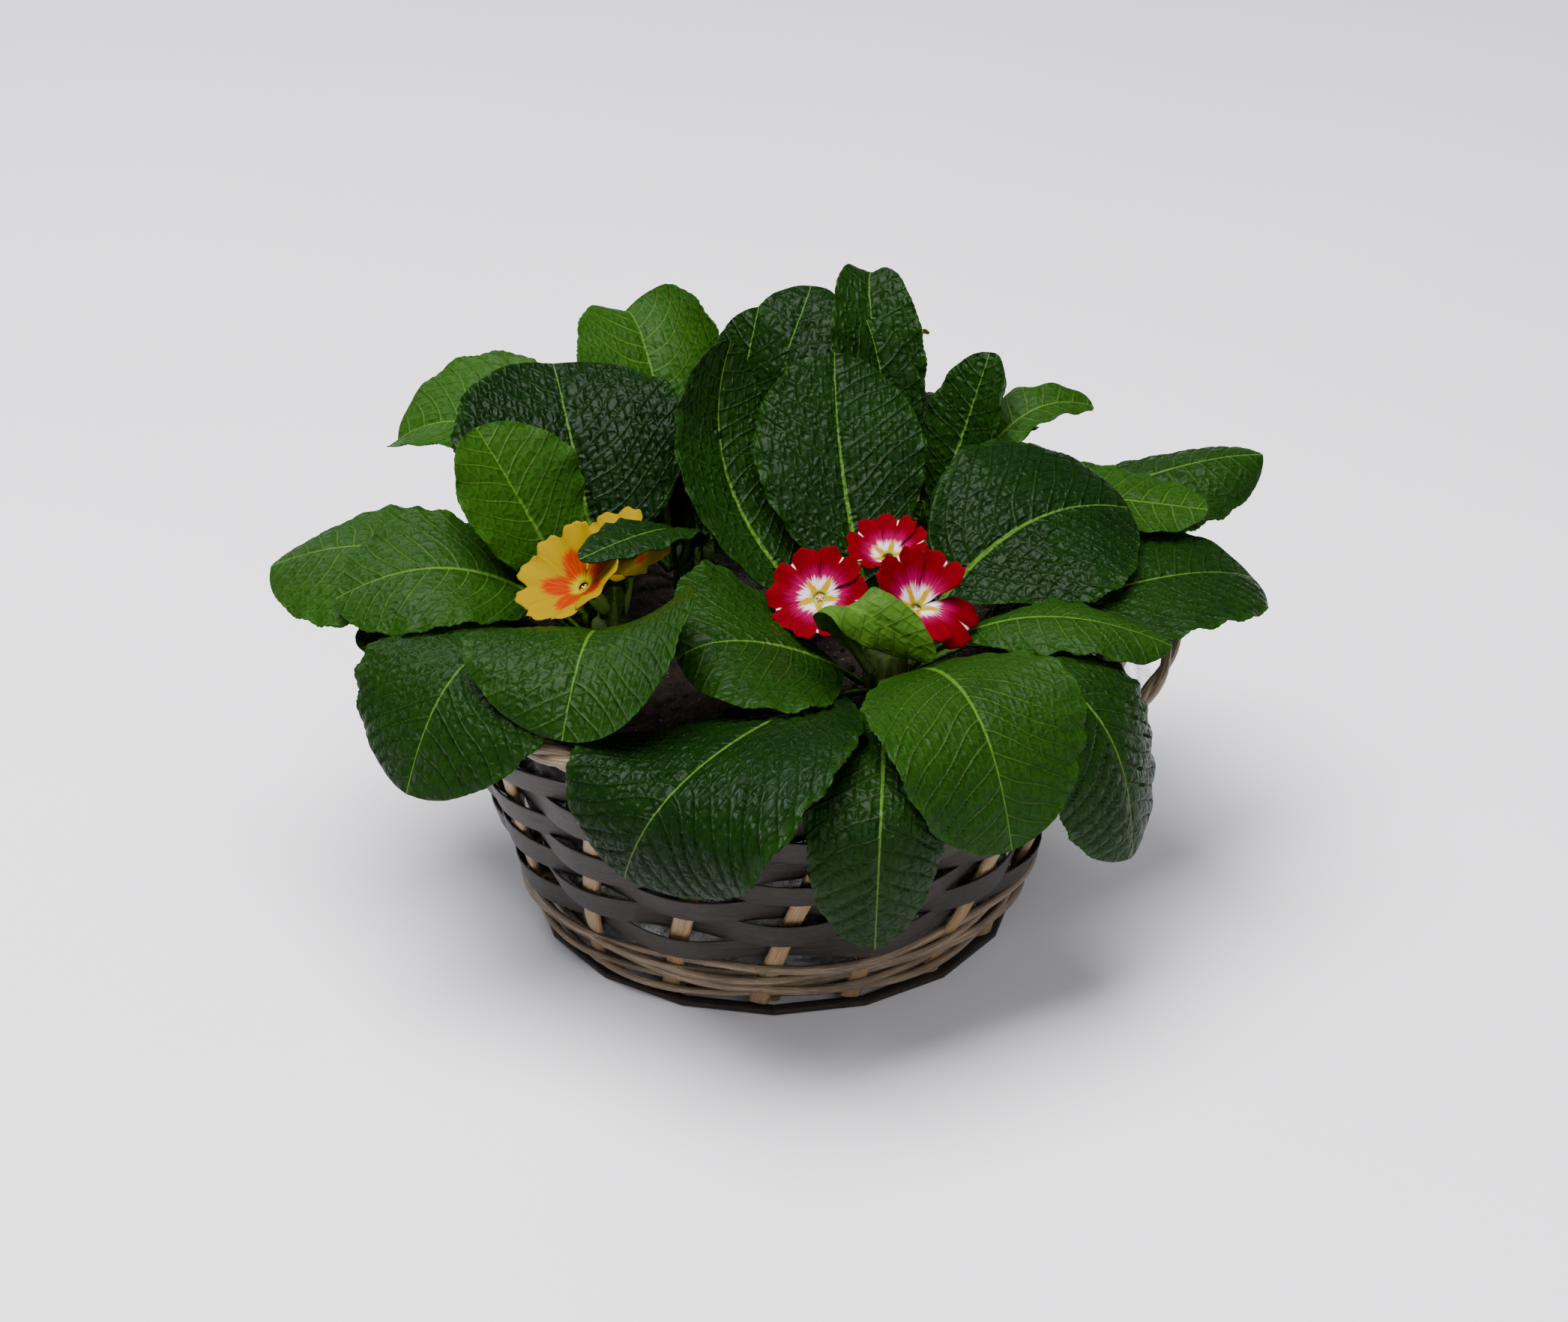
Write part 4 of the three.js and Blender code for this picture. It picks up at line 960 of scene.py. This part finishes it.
# %% Stakes, rods and strips
def willow_skin(name, dark, light, worn, wear, smooth, dull, gloss=0.5):
    """Fibres between dark and light, with worn specks; roughness between smooth and dull."""
    tree, shader, made = finish(name, Specular_IOR_Level=gloss)
    grain = tree.use(fibre_tree)
    colour = tree.blend(tree.ramp(grain["Fibre"], 0.3, 0.7), dark, light)
    colour = tree.blend(tree.times(tree.ramp(grain["Patch"], 0.5, 0.7), 0.45), colour, dark)
    colour = tree.blend(tree.times(grain["Speck"], wear), colour, worn)
    tree.dress(shader, colour, tree.ramp(grain["Fibre"], 0.2, 0.8, smooth, dull))
    tree.relief(shader, grain["Fibre"], 0.0005)
    return made


stake_skin = willow_skin("pale_stakes", srgb(104, 80, 52), srgb(152, 124, 86), srgb(184, 160, 124),
                         0.3, 0.45, 0.65)
rod_skin = willow_skin("tan_rods", srgb(68, 54, 38), srgb(140, 120, 94), srgb(196, 182, 158), 0.45, 0.36, 0.6)
strip_skin = willow_skin("dark_strips", srgb(30, 26, 22), srgb(54, 48, 42), srgb(108, 97, 86),
                         0.4, 0.34, 0.56, gloss=0.22)
print("willow skins ready")

# %% [markdown]
# ## The basket
# Seventeen stakes rise from the floor plate, lean a little round the wall and end in the border.
# Rods are woven low down, three at a time, each in front of two stakes and behind one. Above
# them one flat strip winds up the wall, in front of one stake and behind the next.

# %% The line of the wall
STAKE_LINE = [(2.2, 84), (6, 94.6), (18, 96.6), (32, 103), (55, 110), (116, 131.2)]
STAKES = 17
STAKE_LEAN = 0.16
STAKE_TURN = -4.5


def wall_radius(height):
    heights, radii = zip(*STAKE_LINE)
    return float(np.interp(height, heights, radii))


def stake_turn(number, height):
    return math.radians(STAKE_TURN + STAKE_LEAN * height) + 2 * math.pi * number / STAKES


def stake_path(number):
    heights = np.concatenate([[2.2, 3.4, 4.7], np.linspace(6, 116, 30)])
    points = [polar(stake_turn(number, z), wall_radius(z), z) for z in heights]
    flats = [polar(stake_turn(number, z), 1, -0.25) if z > 5 else (0, 0, -1) for z in heights]
    return points, flats, 1 + 0.05 * np.sin(heights * 0.11 + number)


stakes = strands("stakes", [stake_path(i) for i in range(STAKES)], 7.4, 3.4, stake_skin, 0.7, 12)
print("stakes:", len(stakes.data.polygons), "faces")

# %% The floor plate, a spiral of rod over the spokes
PLATE = {"inner": 6, "outer": 86.5, "pitch": 3.9, "level": 2.1}


def base_spiral():
    inner, outer = PLATE["inner"], PLATE["outer"]
    count = int((outer - inner) / PLATE["pitch"] * STAKES * 2)
    points = []
    for n in range(count + 1):
        radius = inner + (outer - inner) * n / count
        lift = 1.15 * math.cos(math.pi * n / 2)
        points.append(polar(2 * math.pi * n / (2 * STAKES), radius, PLATE["level"] + lift * 0.35))
    return points, [(0, 0, 1)] * len(points), 1.0


def spoke_path(number):
    turn = 2 * math.pi * number / STAKES
    return [polar(turn, radius, PLATE["level"]) for radius in (3, 30, 60, 88)], [(0, 0, 1)] * 4, 1.0


base = strands("base_weave", [base_spiral()], 3.6, 3.0, rod_skin, 1.0, 8)
spokes = strands("base_spokes", [spoke_path(k) for k in range(STAKES)], 4.5, 2.2, stake_skin, 0.8, 8)
print("floor plate:", len(base.data.polygons) + len(spokes.data.polygons), "faces")

# %% The woven strip
CHIP = {"width": 12.2, "thickness": 1.1, "swing": 3.8, "pitch": 11, "start": 28.6, "turns": 7.3}


def strip_path():
    total = round(CHIP["turns"] * STAKES)
    fine = 8
    points, flats, girths = [], [], []
    for m in range(total * fine + 1):
        n = m / fine
        height = CHIP["start"] + CHIP["pitch"] * n / STAKES
        swing = CHIP["swing"] * math.cos(math.pi * n)
        swing *= 1 - 0.12 * math.sin(n * 2.3) ** 2
        height += 0.5 * math.sin(n * 0.83) + 0.3 * math.sin(n * 2.1)
        turn = stake_turn(n + round(STAKES / 2), height)
        points.append(polar(turn, wall_radius(height) + swing, height))
        tilt = 0.33 + 0.1 * math.sin(n * 1.7)
        flats.append(polar(turn, 1, -tilt))
        girths.append(1 + 0.05 * math.sin(n * 0.7))
    return points, flats, girths


strip = strands("strip_weave", [strip_path()], CHIP["width"], CHIP["thickness"], strip_skin, 0.45, 14)
print("strip:", len(strip.data.polygons), "faces")

# %% The rods below the strip
ROD = {"start": 5.6, "pitch": 8.6, "gap": 2.9, "rounds": 2, "thickness": 3.1}


def rod_path(strand):
    fine = 8
    points, girths = [], []
    for m in range(ROD["rounds"] * STAKES * fine + 1):
        n = m / fine
        height = ROD["start"] + ROD["pitch"] * n / STAKES + ROD["gap"] * strand
        side = math.cos(2 * math.pi * (n + strand) / 3)
        swing = 0.9 + 3.3 * (0.35 - side) / 1.35
        height += 0.8 * math.sin(2 * math.pi * (n + strand) / 3) + 0.6 * math.sin(n * 1.3 + 2.4 * strand)
        turn = stake_turn(n + round(STAKES / 2), height)
        points.append(polar(turn, wall_radius(height) + swing, height))
        girths.append(1 + 0.16 * math.sin(n * 0.6 + 2 * strand) + 0.06 * math.sin(n * 1.7))
    return points, [(0, 0, 1)] * len(points), girths


rods = strands("rod_weave", [rod_path(k) for k in range(3)], ROD["thickness"], ROD["thickness"], rod_skin)
print("rods:", len(rods.data.polygons), "faces")

# %% [markdown]
# The border is a twist of four rods that run round and round the top. The foot is a flat dark
# strip laid on edge to edge round the stakes, with a corner at each, and each handle is a pair of
# rods twisted together, bent out from the wall and back.

# %% Border
RIM = {"radius": 132.6, "height": 120.7, "offset": 2.45, "rod": 4.7, "twist": 13}


def border_path(number):
    points = []
    for m in range(360):
        turn = 2 * math.pi * m / 360
        angle = RIM["twist"] * turn + number * math.pi / 2 + 0.2 * math.sin(5 * turn)
        points.append(polar(turn, RIM["radius"] + RIM["offset"] * math.cos(angle),
                            RIM["height"] + RIM["offset"] * math.sin(angle)))
    return points, [(0, 0, 1)] * len(points), 1 + 0.06 * np.sin(np.arange(360) * 0.11 + number)


border = strands("border", [border_path(k) for k in range(4)], RIM["rod"], RIM["rod"], rod_skin, closed=True)
print("border:", len(border.data.polygons), "faces")

# %% Foot
FOOT = {"radius": 94.2, "level": 1.3, "width": 4.6, "thickness": 2.4}


def foot_path():
    corners = [polar(2 * math.pi * i / STAKES, FOOT["radius"], FOOT["level"]) for i in range(STAKES)]
    points = []
    for i in range(STAKES):
        for share in (0, 0.06, 0.3, 0.6, 0.94):
            points.append(corners[i] * (1 - share) + corners[(i + 1) % STAKES] * share)
    return points, [(0, 0, 1)] * len(points), 1.0


foot = strands("foot_strip", [foot_path()], FOOT["width"], FOOT["thickness"], strip_skin, 0.4, 12, True)
print("foot:", len(foot.data.polygons), "faces")

# %% Handles
EARS = {"right": (89, 128.8), "left": (-91, 127.5)}
EAR_PATH = [(-25, 137, 97), (-20, 144, 107), (-12, 150.5, 115.5), (0, 153.5, 120),
            (12, 150.5, 115.5), (20, 144, 107), (25, 137, 97)]
EAR_ROD = 3.9
EAR_TWIST = 1.35


def through(points, fine=8):
    """A smooth path through points, by Catmull and Rom's rule."""
    knots = np.array([2 * points[0] - points[1], *points, 2 * points[-1] - points[-2]])
    made = []
    for i in range(1, len(knots) - 2):
        p0, p1, p2, p3 = knots[i - 1:i + 3]
        for share in np.linspace(0, 1, fine, endpoint=False):
            t2, t3 = share ** 2, share ** 3
            made.append(0.5 * (2 * p1 + (p2 - p0) * share + (2 * p0 - 5 * p1 + 4 * p2 - p3) * t2
                               + (3 * p1 - p0 - 3 * p2 + p3) * t3))
    return np.array(made + [knots[-2]])


def ear_paths(turn, leg):
    corners = [(-27, leg, 86), *EAR_PATH, (27, leg, 86)]
    line = through([polar(math.radians(turn + along), radius, height) for along, radius, height in corners])
    tangent = unit(np.gradient(line, axis=0))
    inward = unit(np.cross(tangent, (0, 0, 1)))
    other = np.cross(inward, tangent)
    angle = np.linspace(0, 9 * math.pi, len(line))[:, None]
    paths = []
    for phase in (0, math.pi):
        way = line + EAR_TWIST * (inward * np.cos(angle + phase) + other * np.sin(angle + phase))
        paths.append((way, np.tile((0.0, 0.0, 1.0), (len(way), 1)), 1.0))
    return paths


ears = {side: strands("ear_" + side, ear_paths(*EARS[side]), EAR_ROD, EAR_ROD, rod_skin) for side in EARS}
print("handles:", list(ears))

# %% Join the basket's pieces to the frame
for made, node, slot in ((stakes, "basket_frame", "stake"), (base, "basket_frame", "willow"),
                         (spokes, "basket_frame", "stake"), (strip, "basket_chip_weave", "chip"),
                         (rods, "basket_rod_weave", "willow"), (border, "basket_rim", "willow"),
                         (foot, "basket_foot", "chip"), (ears["right"], "basket_ear_right", "willow"),
                         (ears["left"], "basket_ear_left", "willow")):
    hand_over(made, node)
print("basket joined")

# %% [markdown]
# ## Liner and soil
# A clear, crinkled plastic liner keeps the soil in; its edge shows inside the rim and one flap
# stands out at the right. The soil is dark peat with small crumbs and a few pale grains.

# %% Film
tree, shader, film_skin = finish("clear_film", Roughness=0.18, Alpha=0.3)
place = tree.place()
crinkle = tree.noise(place, 130.0, 4.0, 0.55)
tree.link(tree.ramp(crinkle, 0.35, 0.7, 0.06, 0.28), shader.inputs["Alpha"])
tree.dress(shader, tree.blend(crinkle, srgb(214, 220, 222), srgb(245, 247, 250)))
tree.relief(shader, crinkle, 0.002)

LINER_PROFILE = [(2.0, 4.4), (40, 4.4), (84, 4.4), (88.4, 18), (94.8, 32), (101.8, 55), (112, 86),
                 (117, 101), (123.2, 117)]
FILM = 0.4
FLAP_FILM = 0.35


def shell(name, front, back, material, closed=False):
    """A thin closed sheet between two grids of points; closed joins its last column to its first."""
    if closed:
        front, back = (np.concatenate([grid, grid[:, :1]], axis=1) for grid in (front, back))
    points, upper, lower, edge = stack(front, back)
    return piece(name, points, np.concatenate([upper, lower, edge]), [material])


def liner_grid(extra, sides=180):
    turn, radius, height = lathe(LINER_PROFILE, sides)
    wall = smooth_step(height, 6, 30)
    crease = 0.7 * np.sin(23 * turn + height * 0.13) + 0.5 * np.sin(41 * turn - height * 0.21)
    radius = radius - extra * wall + crease * wall * 0.8
    waves = 1.2 * np.sin(17 * turn) + 0.8 * np.sin(31 * turn)
    height = height + extra * (1 - wall) + np.where(height > 110, waves, 0)
    return np.stack(np.broadcast_arrays(radius * np.sin(turn), -radius * np.cos(turn), height), -1)


def flap_grid(extra):
    share = np.linspace(0, 1, 26)[:, None]
    turn = np.radians(np.linspace(63, 89, 40))[None, :]
    spread = np.radians(3.0) * np.sin(share * 3) * np.sin(turn * 14)
    radius = 124 + 19 * smooth_step(share, 0.15, 0.95) + 3 * share * np.sin(turn * 37 + 3 * share)
    arch = 16 * np.sin(np.minimum(share * 1.5, 1.25) * math.pi * 0.6)
    height = 113 + arch - 26 * smooth_step(share, 0.45, 1.0)
    height = height + 2.2 * share * np.sin(turn * 29 + 5 * share) + extra
    turn = turn + spread
    return np.stack([radius * np.sin(turn), -radius * np.cos(turn), height + 0 * turn], -1)


liner = shell("liner_film", liner_grid(0.0), liner_grid(FILM), film_skin, True)
flap = shell("liner_flap", flap_grid(FLAP_FILM), flap_grid(0.0), film_skin)
print("liner faces:", sum(hand_over(made, "liner") for made in (liner, flap)))

# %% Soil
tree, shader, soil_skin = finish("peat")
place = tree.place()
clods = tree.noise(place, 180.0, 6.0, 0.7)
colour = tree.blend(tree.ramp(clods, 0.35, 0.7), srgb(22, 16, 12), srgb(62, 46, 34))
grit = tree.ramp(tree.noise(place, 620.0, 2.0), 0.66, 0.74)
colour = tree.blend(grit, colour, srgb(150, 132, 104))
tree.dress(shader, colour, tree.ramp(clods, 0.2, 0.8, 0.98, 0.75))
tree.relief(shader, clods, 0.004)

SOIL_SIDE = [(0.5, 5.5), (82.5, 5.5), (87.4, 18), (93.6, 32), (100.6, 55), (116.4, 102)]
SOIL_LEVEL = 105.2
SOIL_RINGS = (112, 106, 99, 91, 83, 75, 67, 59, 51, 43, 35, 27, 19, 11, 5, 0.5)


def soil_grid(sides=150):
    turn, radius, height = lathe([*SOIL_SIDE, *((ring, SOIL_LEVEL) for ring in SOIL_RINGS)], sides)
    x, y = radius * np.sin(turn), -radius * np.cos(turn)
    lumps = (0.8 * np.sin(0.31 * x + 1) * np.cos(0.27 * y) + 0.6 * np.sin(0.83 * x - 0.6 * y)
             + 0.4 * np.sin(1.7 * y + x))
    height = height + np.where(height > 103, lumps, 0)
    return np.stack([x, y, height], -1)


soil = piece("soil_body", *around(soil_grid()), [soil_skin])
print("soil:", len(soil.data.polygons), "faces")

# %% [markdown]
# Crumbs of peat lie on it. A Geometry Nodes tree scatters one pebble of twenty faces over the
# part of a mesh that faces up, turns and sizes each at random, and makes most of them small.

# %% Crumbs
crumb_tree, given, taken = group_tree(
    "crumbs on a surface", "GeometryNodeTree",
    [("Geometry", "NodeSocketGeometry"), ("Above", "NodeSocketFloat", 0.1),
     ("Density", "NodeSocketFloat", 20000.0), ("Size", "NodeSocketFloat", 0.003),
     ("Seed", "NodeSocketInt", 5), ("Material", "NodeSocketMaterial")],
    [("Geometry", "NodeSocketGeometry")])


def by_luck(low, high, seed):
    """Three random numbers for each point."""
    feeds = {0: low, 1: high, "Seed": seed}
    return crumb_tree.put("FunctionNodeRandomValue", feeds, data_type="FLOAT_VECTOR").outputs[0]


height = crumb_tree.split(crumb_tree.put("GeometryNodeInputPosition").outputs[0])[2]
facing = crumb_tree.split(crumb_tree.put("GeometryNodeInputNormal").outputs[0])[2]
upper = crumb_tree.times(crumb_tree.maths("GREATER_THAN", height, given.outputs["Above"]),
                         crumb_tree.maths("GREATER_THAN", facing, 0.5))
feeds = {"Mesh": given.outputs["Geometry"], "Selection": upper, "Density": given.outputs["Density"],
         "Seed": given.outputs["Seed"]}
spots = crumb_tree.put("GeometryNodeDistributePointsOnFaces", feeds)
pebble = crumb_tree.put("GeometryNodeMeshIcoSphere", {"Radius": 1.0, "Subdivisions": 1})
turned_to = by_luck((0, 0, 0), (6.3, 6.3, 6.3), 1)
squash = by_luck((0.6, 0.6, 0.5), (1, 1, 0.8), 2)
luck = crumb_tree.put("FunctionNodeRandomValue", {2: 0.0, 3: 1.0, "Seed": 3}, data_type="FLOAT").outputs[1]
part = crumb_tree.ramp(crumb_tree.maths("POWER", luck, 3.0), 0.0, 1.0, 0.2, 1.0)
feeds = {0: squash, "Scale": crumb_tree.times(part, given.outputs["Size"])}
scale = crumb_tree.put("ShaderNodeVectorMath", feeds, operation="SCALE").outputs[0]
feeds = {"Points": spots.outputs[0], "Instance": pebble.outputs[0], "Rotation": turned_to, "Scale": scale}
plain_mesh(crumb_tree, given, taken, crumb_tree.put("GeometryNodeInstanceOnPoints", feeds).outputs[0])

bed = soil.copy()
bed.data = soil.data.copy()
bpy.context.collection.objects.link(bed)
crumbs = grown(bed, crumb_tree, "soil_crumbs", Above=0.1, Density=26000.0, Size=0.0032, Seed=5,
               Material=soil_skin)
print("soil faces:", [hand_over(made, "soil") for made in (soil, crumbs)])

# %% [markdown]
# ## Crowns and stalks
# Each plant grows from a short crown, wrapped in the bases of its leaf stalks, with three small
# young leaves in its heart. The flower stalks rise beside them and carry a toothed green cup.

# %% Crowns
HEART_LEAVES = [(12, 6.5, 17, 9), (135, 6.5, 19, 10), (252, 6, 14, 8)]
HEART_START = 3
CROWN_TOP = CROWN["level"] + CROWN["rise"]
STALK_WIDTH = 2.6
CALYX = {"radius": 3.2, "foot": 2.4, "length": 10, "tooth": 2}

tree, shader, crown_skin = finish("crown_skin", Specular_IOR_Level=0.15)
drawn_out = tree.put("ShaderNodeMapping", {"Vector": tree.place(), "Scale": (1, 1, 0.2)}).outputs[0]
husk = tree.noise(drawn_out, 420.0, 4.0)
colour = tree.blend(tree.ramp(husk, 0.3, 0.7), srgb(30, 42, 12), srgb(62, 80, 26))
tree.dress(shader, colour, tree.ramp(husk, 0.3, 0.7, 0.5, 0.8))
tree.relief(shader, husk, 0.0008)


def crown_grid(plant, sides=40):
    x, y = CROWNS[plant]
    low = CROWN["level"] - CROWN["depth"]
    profile = [(0.4, low), (7.5, low), (9, 103), (8.9, 108), (8.6, 116), (8.3, CROWN_TOP - 2),
               (6, CROWN_TOP), (0.4, CROWN_TOP + 0.5)]
    turn, radius, height = lathe(profile, sides)
    radius = radius - 0.45 * (0.5 + 0.5 * np.cos(8 * turn + height * 0.1)) * (radius > 1)
    return np.stack([x + radius * np.sin(turn), y - radius * np.cos(turn), height + 0 * turn], -1)


def bloom_stalk(bloom):
    """The path of a flower stalk from the crown to the bloom."""
    eye, axis = bloom_frame(bloom)[:2]
    centre = np.array([*CROWNS[bloom["plant"]], 0.0])
    middle = np.array(bloom["stalk"], float)
    lean = (middle - centre) * (1, 1, 0)
    foot = centre + unit(lean) * 5 + (0, 0, CROWN_TOP - 4)
    end = eye - axis * (TUBE_LENGTH + CLEARANCE + 1)
    way = through([foot, middle, end], 14)
    return way, np.tile((0.0, 1.0, 0.2), (len(way), 1)), 1 + 0.15 * np.linspace(0, 1, len(way)) ** 3


def calyx(bloom, sides=30):
    """The rings of a green cup with five teeth, from its floor up its outside and down inside."""
    floor = -TUBE_LENGTH - CLEARANCE
    angle = np.linspace(0, 2 * math.pi, sides, endpoint=False)
    tooth = floor + CALYX["length"] - CALYX["tooth"] * (0.5 - 0.5 * np.cos(5 * angle)) ** 0.8
    rib = 1 + 0.07 * np.cos(5 * angle)
    wide, foot = CALYX["radius"], CALYX["foot"]
    rows = [(foot * 0.6, floor - 2), (foot, floor - 1), (wide, floor + 3.5), (wide - 0.1, floor + 6),
            (wide - 0.3, tooth), (2.35, tooth), (2.25, floor + 4), (2.2, floor + 0.4)]
    return np.stack([on_bloom(bloom, angle, radius * rib, height + 0 * angle) for radius, height in rows])


print("points of a cup:", calyx(BLOOMS[0]).size // 3)


# %% Each plant's crown, heart leaves, stalks and cups
def heart_leaf(plant, number):
    """One of the small young leaves in the middle of a crown."""
    turn, reach, rise, width = HEART_LEAVES[number]
    row = dict(name=f"heart_{plant}_{number}", plant=plant, turn=turn, tier=CROWN["rise"] - 2, width=width,
               roll=0, vee=10, curl=(20, 20), wave=0, tone=0.8,
               mid=(reach * 0.7, CROWN_TOP + rise * 0.5, 0), tip=(reach, CROWN_TOP + rise, 0))
    return leaf_piece(row, HEART_START)


def bloom_foot(bloom):
    """The stalk and the cup under a bloom."""
    stalk = strands("stalk_" + bloom["name"], [bloom_stalk(bloom)], STALK_WIDTH, STALK_WIDTH, green_skin,
                    sides=12)
    return [stalk, piece("cup_" + bloom["name"], *around(calyx(bloom)), [green_skin])]


for plant in CROWNS:
    pieces = [piece("crown_body_" + plant, *around(crown_grid(plant)), [crown_skin])]
    pieces += [heart_leaf(plant, number) for number in range(len(HEART_LEAVES))]
    for bloom in BLOOMS:
        if bloom["plant"] == plant:
            pieces += bloom_foot(bloom)
    print("crown", plant, "has faces", [hand_over(made, "crown_" + plant) for made in pieces])
